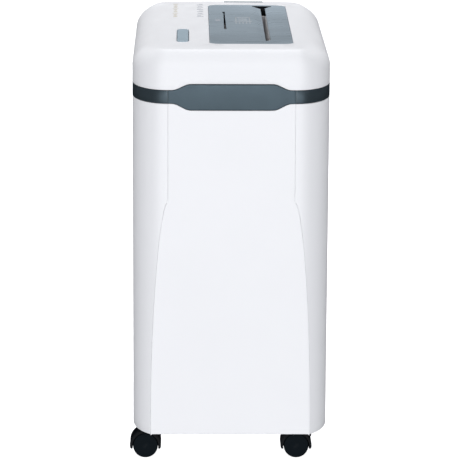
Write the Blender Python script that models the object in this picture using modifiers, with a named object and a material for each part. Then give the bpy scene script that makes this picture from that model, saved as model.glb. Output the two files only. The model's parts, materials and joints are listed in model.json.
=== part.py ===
"""Upright paper shredder on four hooded casters, with a pull-out bin. Metres, +Z up, front towards -Y."""

import math

import bmesh
import bpy
from mathutils import Matrix, Vector

# Housing
WIDTH = 0.2336
DEPTH = 0.390
PROUD = 0.002  # how far the grip bar and the cord gland stand out from the flat faces
HALF = WIDTH / 2
FRONT = -DEPTH / 2 + PROUD
BACK = DEPTH / 2 - PROUD
WALL = 0.0025
GAP = 0.0004
BODY_LOW = 0.0340
TRIM_LOW = 0.4376
TRIM_HIGH = 0.4530
TOP_FRONT = 0.5000
TOP_RISE = 0.0024
CROWN = 0.0020
TOP_CENTRE = 0.080  # where the rings of the flat top close in
FLAT_HALF = 0.0744  # half width of the flat front at the trim band
CORNER_WIDTH = HALF - FLAT_HALF
CORNER_DEPTH = 0.065  # how far back the elliptical front corners reach
REAR_RADIUS = 0.040

# Drawer front: upright near the band, receding below, so that it meets the curved corners further out
RECESS_TOP = 0.3208
RECESS = 0.0086
RECESS_EASE = 1.1
DOOR_GAP = 0.0006
DOOR_DEPTH = 0.016
PANEL_HEIGHTS = (BODY_LOW, 0.066, 0.105, 0.150, 0.195, 0.237, 0.272, 0.299, 0.3135, RECESS_TOP)

# Grip bar, the wide middle of the trim band
GRIP_HALF = 0.0512
GRIP_SLOPE_END = 0.0664
GRIP_LOW = 0.4297
GRIP_HIGH = 0.4602

# Bin tub
TUB_HALF = 0.068
TUB_FRONT = FRONT + DOOR_DEPTH + GAP
TUB_BACK = 0.150
TUB_LOW = 0.0555
TUB_HIGH = 0.370

# Head
SIDE_INSET = 0.036
SIDE_RISE = 0.026
FRONT_INSET = 0.010
FRONT_RISE = 0.022
REAR_FILLET = 0.014

# Entry panel, its paper slot and its disc slot
PANEL_LEFT = -0.0254
PANEL_RIGHT = 0.0726
PANEL_FRONT = -0.146
PANEL_BACK = 0.150
PANEL_RADIUS = 0.011
PAPER_X = 0.044
PAPER_HALF_LENGTH = 0.118
PAPER_HALF_GAP = 0.0029
VALLEY_X = 0.0425
VALLEY_DEPTH = 0.003
VALLEY_HALF = 0.0135
VALLEY_RISE = 0.150
DISC_X = -0.006
DISC_FRONT = -0.041
DISC_BACK = 0.082
DISC_HALF_GAP = 0.0014

# Control key
KEY_X = -0.0573
KEY_Y = -0.0858
KEY_WIDTH = 0.0134
KEY_LENGTH = 0.0945
KEY_LOW = 0.4960
KEY_HIGH = 0.5016

# Cutter block: two shafts along Y, one on each side of the paper slot
SHAFT_Z = 0.440
SHAFT_SPREAD = 0.030
SHAFT_A_X = PAPER_X - SHAFT_SPREAD / 2
SHAFT_B_X = PAPER_X + SHAFT_SPREAD / 2
JOURNAL = 0.006
FIT = 0.0003
DISC_RADIUS = 0.017
SPACER_RADIUS = 0.0115
DISC_PITCH = 0.026
DISC_WIDTH = 0.0124
PLATE_Y = 0.124
PLATE_THICK = 0.004

# Gears, all with axes along Y behind the rear plate
PRESSURE = math.radians(25)
SYNC_TEETH = 15
MAIN_TEETH = 38
IDLER_SMALL_TEETH = 11
IDLER_BIG_TEETH = 32
PINION_TEETH = 10
CUTTER_MODULE = 0.0020
MOTOR_MODULE = 0.0015
MOTOR_X = -0.045
MOTOR_Z = 0.425

# Casters
WHEEL_RADIUS = 0.015
WHEEL_STEPS = 20
CASTER_X = 0.0908
CASTER_Y = 0.156
TRAIL = 0.0109
HOOD_RADIUS = 0.0187
HOOD_HALF_WIDTH = 0.0146
STEM_TOP = 0.0515

# Deck rails inside the trim band
DECK_LOW = TRIM_LOW
DECK_HIGH = TRIM_LOW + 0.003
INNER_FRONT = -0.176
RAIL_END = 0.172

# Smaller pieces and the planes of the gears
GLAND = (-0.058, 0.412)
LEDGE = 0.009
REAR_PAD_HALF = 0.045
REAR_PAD_LOW = 0.185
REAR_PAD_HIGH = 0.255
REAR_PAD_PROUD = 0.0006
BASE_PAD = (0.050, 0.100)
RUNNER_X = 0.058
GLAND_RADIUS = 0.007
SOCKET_RADIUS = 0.0075
STEM_RADIUS = 0.004
AXLE_RADIUS = 0.002
WEB_HALF = 0.0025
BUSH_RADIUS = 0.0082
PIN_RADIUS = 0.003
VENT_LEFT = -0.0051
VENT_RIGHT = 0.0449
VENT_FRONT = BACK - REAR_FILLET
VENT_LOW = 0.4885
KEY_PIVOT_Z = 0.4975
INTERLOCK_X = 0.062
INTERLOCK_Z = 0.447
PLUNGER_RADIUS = 0.002
PLUNGER_TIP = -0.1822
SYNC_SPAN = (0.1300, 0.1385)
MAIN_SPAN = (0.1410, 0.1510)
MOTOR_SPAN = (0.1530, 0.1610)


# ---------------------------------------------------------------- scene and helpers


def clear_scene():
    for obj in list(bpy.data.objects):
        bpy.data.objects.remove(obj, do_unlink=True)


def new_collection(name, hidden=False):
    collection = bpy.data.collections.new(name)
    bpy.context.scene.collection.children.link(collection)
    collection.hide_render = hidden
    return collection


def make_material(name, colour, roughness, metallic=0.0):
    material = bpy.data.materials.new(name)
    material.use_nodes = True
    shader = material.node_tree.nodes["Principled BSDF"]
    shader.inputs["Base Color"].default_value = (*colour, 1.0)
    shader.inputs["Roughness"].default_value = roughness
    shader.inputs["Metallic"].default_value = metallic
    return material


def add_object(name, data, material, collection=None):
    obj = bpy.data.objects.new(name, data)
    (collection or PARTS).objects.link(obj)
    if material:
        data.materials.append(material)
    return obj


def smooth(obj, degrees=35):
    obj.data.shade_smooth()
    obj.data.set_sharp_from_angle(angle=math.radians(degrees))
    return obj


def as_cutter(obj):
    obj.hide_render = True
    obj.display_type = "WIRE"
    return obj


def boolean(obj, other, operation="DIFFERENCE"):
    """Cuts, joins or intersects obj with other, which becomes a hidden helper."""
    modifier = obj.modifiers.new(operation.lower(), "BOOLEAN")
    modifier.operation = operation
    modifier.object = as_cutter(other)
    modifier.solver = "EXACT"
    return obj


def solidify(obj, thickness):
    modifier = obj.modifiers.new("wall", "SOLIDIFY")
    modifier.thickness = thickness
    modifier.offset = -1.0
    modifier.use_even_offset = True
    return obj


def box(name, low, high, material=None, collection=None):
    size = Vector(high) - Vector(low)
    centre = (Vector(high) + Vector(low)) / 2
    mesh = bpy.data.meshes.new(name)
    work = bmesh.new()
    bmesh.ops.create_cube(work, size=1.0, matrix=Matrix.Translation(centre) @ Matrix.Diagonal((*size, 1.0)))
    work.to_mesh(mesh)
    work.free()
    return add_object(name, mesh, material, collection)


def cylinder(name, start, end, radius, material=None, collection=None, segments=24):
    start = Vector(start)
    along = Vector(end) - start
    mesh = bpy.data.meshes.new(name)
    work = bmesh.new()
    turn = along.to_track_quat("Z", "Y").to_matrix().to_4x4()
    matrix = Matrix.Translation(start + along / 2) @ turn
    bmesh.ops.create_cone(
        work, cap_ends=True, segments=segments, radius1=radius, radius2=radius,
        depth=along.length, matrix=matrix
    )
    work.to_mesh(mesh)
    work.free()
    return smooth(add_object(name, mesh, material, collection))


def loft(name, rings, material=None, collection=None, closed=False, caps=False):
    """Skin through rings of equal point count, anticlockwise seen from the side they climb towards."""
    mesh = bpy.data.meshes.new(name)
    work = bmesh.new()
    rows = [[work.verts.new(point) for point in ring] for ring in rings]
    count = len(rings[0])
    spans = count if closed else count - 1
    for low, high in zip(rows, rows[1:]):
        for j in range(spans):
            k = (j + 1) % count
            work.faces.new((low[j], low[k], high[k], high[j]))
    if caps:
        work.faces.new(list(reversed(rows[0])))
        work.faces.new(rows[-1])
    work.to_mesh(mesh)
    work.free()
    return smooth(add_object(name, mesh, material, collection))


def frame_matrix(origin, normal):
    """Places a flat outline: its own X and Y lie in the plane, its thickness runs along normal."""
    turns = {
        "Z": Matrix.Identity(3),
        "Y": Matrix(((1, 0, 0), (0, 0, -1), (0, 1, 0))),
        "X": Matrix(((0, 0, 1), (1, 0, 0), (0, 1, 0))),
    }
    return Matrix.Translation(Vector(origin)) @ turns[normal].to_4x4()


def plate(name, outlines, low, high, normal, material=None, collection=None, matrix=None):
    """Flat plate between low and high along normal, from an outer outline followed by its holes."""
    curve = bpy.data.curves.new(name, "CURVE")
    curve.dimensions = "2D"
    curve.fill_mode = "BOTH"
    curve.extrude = (high - low) / 2
    for outline in [outlines[0]] + [hole[::-1] for hole in outlines[1:]]:
        spline = curve.splines.new("POLY")
        spline.points.add(len(outline) - 1)
        for point, (u, v) in zip(spline.points, outline):
            point.co = (u, v, 0.0, 1.0)
        spline.use_cyclic_u = True
    obj = add_object(name, curve, material, collection)
    middle = (low + high) / 2
    origin = {"X": (middle, 0, 0), "Y": (0, middle, 0), "Z": (0, 0, middle)}
    obj.matrix_world = matrix or frame_matrix(origin[normal], normal)
    return obj


def to_mesh(obj, material=None):
    """Turns a curve object into a mesh object of the same name, with its caps welded on."""
    bpy.context.view_layer.update()
    graph = bpy.context.evaluated_depsgraph_get()
    mesh = bpy.data.meshes.new_from_object(obj.evaluated_get(graph))
    work = bmesh.new()
    work.from_mesh(mesh)
    bmesh.ops.remove_doubles(work, verts=work.verts, dist=1e-6)
    bmesh.ops.recalc_face_normals(work, faces=work.faces)
    work.to_mesh(mesh)
    work.free()
    name, matrix, home = obj.name, obj.matrix_world.copy(), obj.users_collection[0]
    bpy.data.objects.remove(obj, do_unlink=True)
    made = add_object(name, mesh, material, home)
    made.matrix_world = matrix
    return made


def turned(name, profile, origin, axis, material=None, collection=None, steps=24, turn=0.0):
    """Solid of revolution. profile holds (radius, height) pairs, running down the outer side."""
    mesh = bpy.data.meshes.new(name)
    closed = profile[0][0] > 0
    points = [(radius, 0.0, height) for radius, height in profile]
    edges = [(i, i + 1) for i in range(len(points) - 1)]
    if closed:
        edges.append((len(points) - 1, 0))
    mesh.from_pydata(points, edges, [])
    obj = add_object(name, mesh, material, collection)
    screw = obj.modifiers.new("turn", "SCREW")
    screw.steps = steps
    screw.render_steps = steps
    screw.use_merge_vertices = True
    screw.merge_threshold = 0.00001
    toward = Vector(axis).to_track_quat("Z", "X").to_matrix().to_4x4()
    obj.matrix_world = Matrix.Translation(Vector(origin)) @ toward @ Matrix.Rotation(turn, 4, "Z")
    return obj


def circle(centre, radius, segments=16):
    return [
        (
            centre[0] + radius * math.cos(2 * math.pi * k / segments),
            centre[1] + radius * math.sin(2 * math.pi * k / segments),
        )
        for k in range(segments)
    ]


def rectangle(low_u, low_v, high_u, high_v):
    return [(low_u, low_v), (high_u, low_v), (high_u, high_v), (low_u, high_v)]


def rounded_rectangle(low_u, low_v, high_u, high_v, radius, segments=4):
    corners = (
        (high_u - radius, low_v + radius, -90),
        (high_u - radius, high_v - radius, 0),
        (low_u + radius, high_v - radius, 90),
        (low_u + radius, low_v + radius, 180),
    )
    points = []
    for centre_u, centre_v, start in corners:
        for k in range(segments + 1):
            angle = math.radians(start + 90 * k / segments)
            points.append((centre_u + radius * math.cos(angle), centre_v + radius * math.sin(angle)))
    return points


# ---------------------------------------------------------------- plan outline of the housing


def mirrored(points):
    return [(-x, y) for x, y in reversed(points)]


def recess(z):
    """How far the drawer front stands back at height z."""
    down = max(0.0, (RECESS_TOP - z) / (RECESS_TOP - BODY_LOW))
    return RECESS * math.sin(math.pi / 2 * down) ** RECESS_EASE


def door_half(z):
    """Half width of the drawer front at height z, where it meets the curved corner."""
    return FLAT_HALF + CORNER_WIDTH * math.sqrt(1 - (1 - recess(z) / CORNER_DEPTH) ** 2)


def right_outline(start_half=FLAT_HALF, inset=0.0, corner_steps=8, rear_steps=5):
    """Plan points from the drawer's edge round the front corner, along the side and round the rear corner."""
    first = math.asin((start_half - FLAT_HALF) / (CORNER_WIDTH - inset))
    points = []
    for k in range(corner_steps + 1):
        angle = first + (math.pi / 2 - first) * k / corner_steps
        x = FLAT_HALF + (CORNER_WIDTH - inset) * math.sin(angle)
        y = FRONT + CORNER_DEPTH - (CORNER_DEPTH - inset) * math.cos(angle)
        points.append((x, y))
    for k in range(rear_steps + 1):
        angle = math.pi / 2 * k / rear_steps
        x = HALF - REAR_RADIUS + (REAR_RADIUS - inset) * math.cos(angle)
        y = BACK - REAR_RADIUS + (REAR_RADIUS - inset) * math.sin(angle)
        points.append((x, y))
    return points


def at_depth(points, y):
    """The point at depth y on a run of points that goes steadily backwards."""
    for before, after in zip(points, points[1:]):
        if before[1] <= y <= after[1]:
            share = (y - before[1]) / (after[1] - before[1])
            return (before[0] + share * (after[0] - before[0]), y)
    return points[-1]


def inner_outline(start_half, inset):
    """Closed outline of a plate inside the housing, cut off straight behind the drawer front."""
    side = right_outline(start_half, inset)
    kept = [at_depth(side, INNER_FRONT), *(point for point in side if point[1] > INNER_FRONT)]
    return kept + mirrored(kept)


def top_height(x, y):
    """The head rises a little to the rear, where it is also crowned."""
    back = (y - FRONT) / (BACK - FRONT)
    return TOP_FRONT + back * (TOP_RISE + CROWN * (1 - (x / HALF) ** 2))


# ---------------------------------------------------------------- housing


def make_side_panel(name, flip):
    """Lofted side, wrapped round both corners, with a gusseted ledge along its top for the deck."""
    top = TRIM_LOW - GAP
    levels = [(z, WALL) for z in PANEL_HEIGHTS]
    levels += [(top - LEDGE, WALL), (top - WALL, LEDGE), (top, LEDGE)]
    rings = []
    for z, inset in levels:
        points = right_outline(door_half(z)) + right_outline(door_half(z), inset)[::-1]
        rings.append([(x, y, z) for x, y in (mirrored(points) if flip else points)])
    return loft(name, rings, WHITE, closed=True, caps=True)


def make_rear_panel():
    edge = HALF - REAR_RADIUS - GAP
    holes = [circle(GLAND, GLAND_RADIUS + FIT)]
    outline = rectangle(-edge, BODY_LOW, edge, TRIM_LOW - GAP)
    panel = to_mesh(plate("rear_panel", [outline, *holes], BACK - WALL, BACK, "Y"), WHITE)
    pad = box(
        "rating_pad", (-REAR_PAD_HALF, BACK - 0.001, REAR_PAD_LOW),
        (REAR_PAD_HALF, BACK + REAR_PAD_PROUD, REAR_PAD_HIGH), None, CUTTERS,
    )
    return boolean(panel, pad, "UNION")


def make_cord_gland():
    """Plain bush in the rear panel where the mains lead passes."""
    flange = GLAND_RADIUS + 0.003
    bore = 0.0042
    profile = [
        (bore, PROUD),
        (flange, PROUD),
        (flange, FIT),
        (GLAND_RADIUS, FIT),
        (GLAND_RADIUS, -0.009),
        (bore, -0.009),
    ]
    return turned("cord_gland", profile, (GLAND[0], BACK, GLAND[1]), (0, 1, 0), DARK)


def make_base_plate():
    holes = [circle((sx * CASTER_X, sy * CASTER_Y), SOCKET_RADIUS + FIT) for sx in (-1, 1) for sy in (-1, 1)]
    outline = inner_outline(door_half(BODY_LOW), WALL + 0.0006)
    base = to_mesh(plate("base_plate", [outline, *holes], BODY_LOW + FIT, BODY_LOW + 0.0043, "Z"), WHITE)
    half_x, half_y = BASE_PAD
    pad = box("lifting_pad", (-half_x, -half_y, BODY_LOW), (half_x, half_y, BODY_LOW + 0.001), None, CUTTERS)
    boolean(base, pad, "UNION")
    for side in (-1, 1):
        runner = box(
            f"runner_{side}", (side * RUNNER_X - 0.002, -0.172, BODY_LOW + 0.0035),
            (side * RUNNER_X + 0.002, 0.176, TUB_LOW - GAP), None, CUTTERS,
        )
        boolean(base, runner, "UNION")
    return base


def make_deck():
    """Two rails that carry the cutter block, resting on the ledges of the side panels."""
    side = right_outline(FLAT_HALF, WALL + 0.0011)
    kept = [point for point in side if abs(point[1]) < RAIL_END]
    kept = [at_depth(side, -RAIL_END), *kept, at_depth(side, RAIL_END)]
    rail = [(0.054, -RAIL_END), *kept, (0.084, RAIL_END), (0.084, -0.150), (0.054, -0.150)]
    plate("deck_rail_right", [rail], DECK_LOW, DECK_HIGH, "Z", STEEL)
    plate("deck_rail_left", [mirrored(rail)], DECK_LOW, DECK_HIGH, "Z", STEEL)


def make_trim_band():
    right = right_outline()
    right[0] = (FLAT_HALF + DOOR_GAP, right[0][1])
    plan = right + mirrored(right)
    rings = [[(x, y, z) for x, y in plan] for z in (TRIM_LOW, TRIM_HIGH)]
    return solidify(loft("trim_band", rings, SLATE), WALL)


# ---------------------------------------------------------------- head


def head_outline():
    """Closed plan of the head as (x, y, normal x, normal y), anticlockwise from the front centre."""
    half = [(x, FRONT, 0.0, -1.0) for x in (0.0, GRIP_HALF, GRIP_SLOPE_END)]
    steps = 8
    for k in range(steps + 1):
        angle = math.pi / 2 * k / steps
        normal = Vector((math.sin(angle) / CORNER_WIDTH, -math.cos(angle) / CORNER_DEPTH)).normalized()
        x = FLAT_HALF + CORNER_WIDTH * math.sin(angle)
        y = FRONT + CORNER_DEPTH * (1 - math.cos(angle))
        half.append((x, y, normal.x, normal.y))
    half.append((HALF, 0.02, 1.0, 0.0))
    steps = 5
    for k in range(steps + 1):
        angle = math.pi / 2 * k / steps
        x = HALF - REAR_RADIUS + REAR_RADIUS * math.cos(angle)
        y = BACK - REAR_RADIUS + REAR_RADIUS * math.sin(angle)
        half.append((x, y, math.cos(angle), math.sin(angle)))
    half.append((0.0, BACK, 0.0, 1.0))
    other = [(-x, y, -nx, ny) for x, y, nx, ny in reversed(half[1:-1])]
    return half + other


def head_low(x, y):
    """The head's lower edge, arched over the grip bar."""
    narrow = TRIM_HIGH + GAP
    wide = GRIP_HIGH + GAP
    if y > FRONT + 0.001 or abs(x) >= GRIP_SLOPE_END:
        return narrow
    if abs(x) <= GRIP_HALF:
        return wide
    return narrow + (wide - narrow) * (GRIP_SLOPE_END - abs(x)) / (GRIP_SLOPE_END - GRIP_HALF)


def make_head_cover():
    outline = head_outline()
    rings = [[(x, y, head_low(x, y)) for x, y, _, _ in outline]]
    fillet_steps = 5
    for k in range(fillet_steps + 1):
        angle = math.pi / 2 * k / fillet_steps
        ring = []
        for x, y, nx, ny in outline:
            end_inset, end_rise = (FRONT_INSET, FRONT_RISE) if ny < 0 else (REAR_FILLET, REAR_FILLET)
            inset = (SIDE_INSET * nx * nx + end_inset * ny * ny) * (1 - math.cos(angle))
            drop = (SIDE_RISE * nx * nx + end_rise * ny * ny) * (1 - math.sin(angle))
            px, py = x - nx * inset, y - ny * inset
            ring.append((px, py, top_height(px, py) - drop))
        rings.append(ring)
    last = rings[-1]
    for share in (0.72, 0.42):
        inner = [(x * share, TOP_CENTRE + (y - TOP_CENTRE) * share) for x, y, _ in last]
        rings.append([(x, y, top_height(x, y)) for x, y in inner])
    head = loft("head_cover", rings, WHITE, closed=True)
    close_top(head, len(outline))
    solidify(head, WALL)
    opening = rounded_rectangle(
        PANEL_LEFT - GAP, PANEL_FRONT - GAP, PANEL_RIGHT + GAP, PANEL_BACK + GAP, PANEL_RADIUS + GAP
    )
    boolean(head, to_mesh(plate("panel_opening", [opening], 0.47, 0.53, "Z", None, CUTTERS)))
    half_w, half_l = KEY_WIDTH / 2 + 0.0006, KEY_LENGTH / 2 + 0.0006
    slot = rounded_rectangle(KEY_X - half_w, KEY_Y - half_l, KEY_X + half_w, KEY_Y + half_l, 0.0045)
    boolean(head, to_mesh(plate("key_opening", [slot], 0.47, 0.53, "Z", None, CUTTERS)))
    vent = box(
        "vent_opening", (VENT_LEFT - GAP, VENT_FRONT - GAP, VENT_LOW - GAP), (VENT_RIGHT + GAP, 0.21, 0.53),
        None, CUTTERS,
    )
    return boolean(head, vent)


def close_top(obj, count):
    """Closes the loft's last ring of count points and splits the gently curved top into flat triangles."""
    work = bmesh.new()
    work.from_mesh(obj.data)
    work.verts.ensure_lookup_table()
    work.faces.new(work.verts[-count:])
    bmesh.ops.triangulate(work, faces=work.faces)
    work.to_mesh(obj.data)
    work.free()
    smooth(obj)


def make_vent_grille():
    """Ribbed grey insert that follows the rear top edge of the head."""
    centre_y = BACK - REAR_FILLET
    centre_z = top_height((VENT_LEFT + VENT_RIGHT) / 2, BACK) - REAR_FILLET
    first = math.asin((VENT_LOW - centre_z) / REAR_FILLET)
    steps = 6
    outer, inner = [], []
    for k in range(steps + 1):
        angle = first + (math.pi / 2 - first) * k / steps
        outer.append((centre_y + REAR_FILLET * math.cos(angle), centre_z + REAR_FILLET * math.sin(angle)))
        reach = REAR_FILLET - WALL
        inner.append((centre_y + reach * math.cos(angle), centre_z + reach * math.sin(angle)))
    grille = to_mesh(plate("vent_grille", [outer + inner[::-1]], VENT_LEFT, VENT_RIGHT, "X"), GREY)
    pitch = (VENT_RIGHT - VENT_LEFT) / 7
    for k in range(6):
        x = VENT_LEFT + pitch * (k + 1)
        slit = box(f"vent_slit_{k}", (x - 0.0012, 0.1835, 0.40), (x + 0.0012, 0.1915, 0.53), None, CUTTERS)
        boolean(grille, slit)
    return grille


def valley(x, y):
    """Depth of the shallow trough along the paper slot, which fades forwards and ends steeply behind."""
    away = (x - VALLEY_X) / VALLEY_HALF
    if abs(away) >= 1:
        return 0.0
    front = min(1.0, max(0.0, (y - PANEL_FRONT - 0.004) / VALLEY_RISE))
    rear = min(1.0, max(0.0, (PANEL_BACK - 0.010 - y) / 0.003))
    return VALLEY_DEPTH * math.cos(math.pi / 2 * away) ** 2 * front * rear


def make_entry_panel():
    spread = [-1.0, -0.72, -0.45, -0.2, 0.2, 0.45, 0.72, 1.0]
    columns = [PANEL_LEFT - 0.003, *(VALLEY_X + VALLEY_HALF * s for s in spread), PANEL_RIGHT + 0.003]
    rows = [PANEL_FRONT - 0.003, PANEL_FRONT + 0.004, PANEL_FRONT + 0.004 + VALLEY_RISE]
    rows += [PANEL_BACK - 0.013, PANEL_BACK - 0.010, PANEL_BACK + 0.003]
    rings = [[(x, y, top_height(x, y) - valley(x, y)) for x in columns] for y in rows]
    panel = solidify(loft("entry_panel", rings, PANEL_GREY), WALL)
    shape = rounded_rectangle(PANEL_LEFT, PANEL_FRONT, PANEL_RIGHT, PANEL_BACK, PANEL_RADIUS)
    boolean(panel, to_mesh(plate("panel_shape", [shape], 0.47, 0.53, "Z", None, CUTTERS)), "INTERSECT")
    paper = rounded_rectangle(
        PAPER_X - PAPER_HALF_GAP, -PAPER_HALF_LENGTH, PAPER_X + PAPER_HALF_GAP, PAPER_HALF_LENGTH, 0.0012, 2
    )
    boolean(panel, to_mesh(plate("paper_slot", [paper], 0.47, 0.53, "Z", None, CUTTERS)))
    disc = rounded_rectangle(DISC_X - DISC_HALF_GAP, DISC_FRONT, DISC_X + DISC_HALF_GAP, DISC_BACK, 0.0012, 2)
    return boolean(panel, to_mesh(plate("disc_slot", [disc], 0.47, 0.53, "Z", None, CUTTERS)))


def make_control_key():
    half_w, half_l = KEY_WIDTH / 2, KEY_LENGTH / 2
    shape = rounded_rectangle(-half_w, -half_l, half_w, half_l, 0.0040)
    low, high = KEY_LOW - KEY_PIVOT_Z, KEY_HIGH - KEY_PIVOT_Z
    place = Matrix.Translation((KEY_X, KEY_Y, KEY_PIVOT_Z + (low + high) / 2))
    return plate("control_key", [shape], low, high, "Z", KEY_GREY, None, place)


# ---------------------------------------------------------------- drawer


def door_outline():
    """Drawer front seen from the front, anticlockwise from its lower right corner, cut under the grip bar."""
    top = TRIM_LOW - GAP
    dip = GRIP_LOW - GAP
    right = [(door_half(z) - DOOR_GAP, z) for z in (*PANEL_HEIGHTS, dip, top)]
    right += [(GRIP_SLOPE_END, top), (GRIP_HALF, dip)]
    return right + mirrored(right)


def make_bin_front():
    """Face with returns running back round its edge, open behind."""
    outline = door_outline()
    half = len(outline) // 2
    mesh = bpy.data.meshes.new("bin_front")
    work = bmesh.new()
    face_ring = [work.verts.new((x, FRONT + recess(z), z)) for x, z in outline]
    back_ring = [work.verts.new((x, FRONT + DOOR_DEPTH, z)) for x, z in outline]
    strips = len(PANEL_HEIGHTS) - 1
    faces = [(j, j + 1, -2 - j, -1 - j) for j in range(strips)]
    faces.append((strips, strips + 1, half - 1, half, -2 - strips, -1 - strips))
    faces.append(range(strips + 1, half))
    faces.append(range(half, 2 * half - strips - 1))
    for face in faces:
        work.faces.new([face_ring[j] for j in face])
    count = len(outline)
    for j in range(count):
        k = (j + 1) % count
        work.faces.new((face_ring[k], face_ring[j], back_ring[j], back_ring[k]))
    work.to_mesh(mesh)
    work.free()
    return solidify(add_object("bin_front", mesh, WHITE), WALL)


def grip_edges(x):
    """Lower and upper edge of the grip bar at x."""
    share = min(1.0, max(0.0, (GRIP_SLOPE_END - abs(x)) / (GRIP_SLOPE_END - GRIP_HALF)))
    return TRIM_LOW + (GRIP_LOW - TRIM_LOW) * share, TRIM_HIGH + (GRIP_HIGH - TRIM_HIGH) * share


def make_bin_handle():
    """Hollow bar, slightly bowed forwards in the middle, with a rib behind it that meets the interlock."""
    end = FLAT_HALF - DOOR_GAP
    stations = [end, GRIP_SLOPE_END, GRIP_HALF, GRIP_HALF * 0.6, GRIP_HALF * 0.25]
    columns = [-x for x in stations] + stations[::-1]
    rows = [[], [], [], [], []]
    for x in columns:
        low, high = grip_edges(x)
        bow = PROUD * max(0.0, 1 - (x / GRIP_SLOPE_END) ** 2)
        back = FRONT + DOOR_DEPTH - 0.002
        rows[0].append((x, back, low))
        rows[1].append((x, FRONT - bow * 0.6, low))
        rows[2].append((x, FRONT - bow, (low + high) / 2))
        rows[3].append((x, FRONT - bow * 0.6, high))
        rows[4].append((x, back, high))
    handle = solidify(loft("bin_handle", rows, SLATE), 0.0022)
    rib = box(
        "handle_rib", (INTERLOCK_X - 0.004, FRONT + 0.0002, INTERLOCK_Z - 0.004),
        (INTERLOCK_X + 0.004, PLUNGER_TIP - GAP, INTERLOCK_Z + 0.004), None, CUTTERS,
    )
    return boolean(handle, rib, "UNION")


def make_waste_bin():
    mesh = bpy.data.meshes.new("waste_bin")
    work = bmesh.new()
    shape = rounded_rectangle(-TUB_HALF, TUB_FRONT, TUB_HALF, TUB_BACK, 0.012, 3)
    low = [work.verts.new((x, y, TUB_LOW)) for x, y in shape]
    high = [work.verts.new((x, y, TUB_HIGH)) for x, y in shape]
    count = len(shape)
    for j in range(count):
        k = (j + 1) % count
        work.faces.new((low[j], low[k], high[k], high[j]))
    work.faces.new(low[::-1])
    work.to_mesh(mesh)
    work.free()
    return solidify(smooth(add_object("waste_bin", mesh, BIN_GREY)), 0.002)


# ---------------------------------------------------------------- cutter block and drive


def make_cutter_plate(name, front):
    """Steel end plate. Its ears rest on the deck and the rest hangs through the deck's opening."""
    ear = 0.092
    low = 0.404 if front else 0.394
    hang_left = -0.008 if front else -0.080
    ear_low = DECK_HIGH + FIT
    outline = [
        (hang_left, low), (0.080, low), (0.080, ear_low), (ear, ear_low), (ear, 0.466), (0.082, 0.482),
        (-0.020, 0.482), (-ear, 0.456), (-ear, ear_low), (hang_left, ear_low),
    ]
    holes = [circle((x, SHAFT_Z), BUSH_RADIUS + FIT) for x in (SHAFT_A_X, SHAFT_B_X)]
    if not front:
        holes.append(circle((MOTOR_X, MOTOR_Z), 0.0050))
    start = -PLATE_Y - PLATE_THICK if front else PLATE_Y
    return plate(name, [outline, *holes], start, start + PLATE_THICK, "Y", STEEL)


def make_cutter_shaft(name, x, discs, end):
    """Shaft with cutting discs, turned as one profile along Y."""
    points = [(0.0, end), (JOURNAL, end), (JOURNAL, PLATE_Y - 0.003)]
    for centre in sorted(discs, reverse=True):
        high, low = centre + DISC_WIDTH / 2, centre - DISC_WIDTH / 2
        points += [(SPACER_RADIUS, high), (DISC_RADIUS, high), (DISC_RADIUS, low), (SPACER_RADIUS, low)]
    points[3:3] = [(SPACER_RADIUS, PLATE_Y - 0.003)]
    points += [(SPACER_RADIUS, 0.003 - PLATE_Y), (JOURNAL, 0.003 - PLATE_Y)]
    points += [(JOURNAL, -PLATE_Y - 0.010), (0.0, -PLATE_Y - 0.010)]
    return turned(name, points, (x, 0, SHAFT_Z), (0, 1, 0), CUTTER_STEEL, steps=16)


def make_bush(name, x, start):
    low, high = 0.0, PLATE_THICK + 0.0006
    inner, outer = JOURNAL + FIT, BUSH_RADIUS
    profile = [(inner, high), (outer, high), (outer, low), (inner, low)]
    return turned(name, profile, (x, start - 0.0003, SHAFT_Z), (0, 1, 0), BRASS, steps=14)


def involute(angle):
    return math.tan(angle) - angle


def gear_outline(teeth, module, tooth_at=None, gap_at=None, centre=(0.0, 0.0)):
    """Straight-flanked teeth through involute points, with a tooth or a gap centred on the given angle."""
    pitch = teeth * module / 2
    base = pitch * math.cos(PRESSURE)
    tip = pitch + 0.80 * module
    root = pitch - 1.00 * module
    backlash = 0.05 * module / pitch
    half_pitch = math.pi / (2 * teeth) + involute(PRESSURE) - backlash
    tip_half = half_pitch - involute(math.acos(base / tip))
    root_half = half_pitch - involute(math.acos(min(1.0, base / max(root, base))))
    start = tooth_at if tooth_at is not None else gap_at + math.pi / teeth
    points = []
    for k in range(teeth):
        middle = start + 2 * math.pi * k / teeth
        for radius, turn in ((root, -root_half), (tip, -tip_half), (tip, tip_half), (root, root_half)):
            angle = middle + turn
            points.append((centre[0] + radius * math.cos(angle), centre[1] + radius * math.sin(angle)))
    return points


def direction(start, end):
    return math.atan2(end[1] - start[1], end[0] - start[0])


def idler_centre():
    """Where the idler meshes with both the main gear and the motor pinion."""
    to_motor = (PINION_TEETH + IDLER_BIG_TEETH) / 2 * MOTOR_MODULE
    to_main = (IDLER_SMALL_TEETH + MAIN_TEETH) / 2 * CUTTER_MODULE
    motor, main = Vector((MOTOR_X, MOTOR_Z)), Vector((SHAFT_A_X, SHAFT_Z))
    span = (main - motor).length
    along = (to_motor**2 - to_main**2 + span**2) / (2 * span)
    up = math.sqrt(to_motor**2 - along**2)
    unit = (main - motor) / span
    return tuple(motor + unit * along + Vector((-unit.y, unit.x)) * up)


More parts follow.
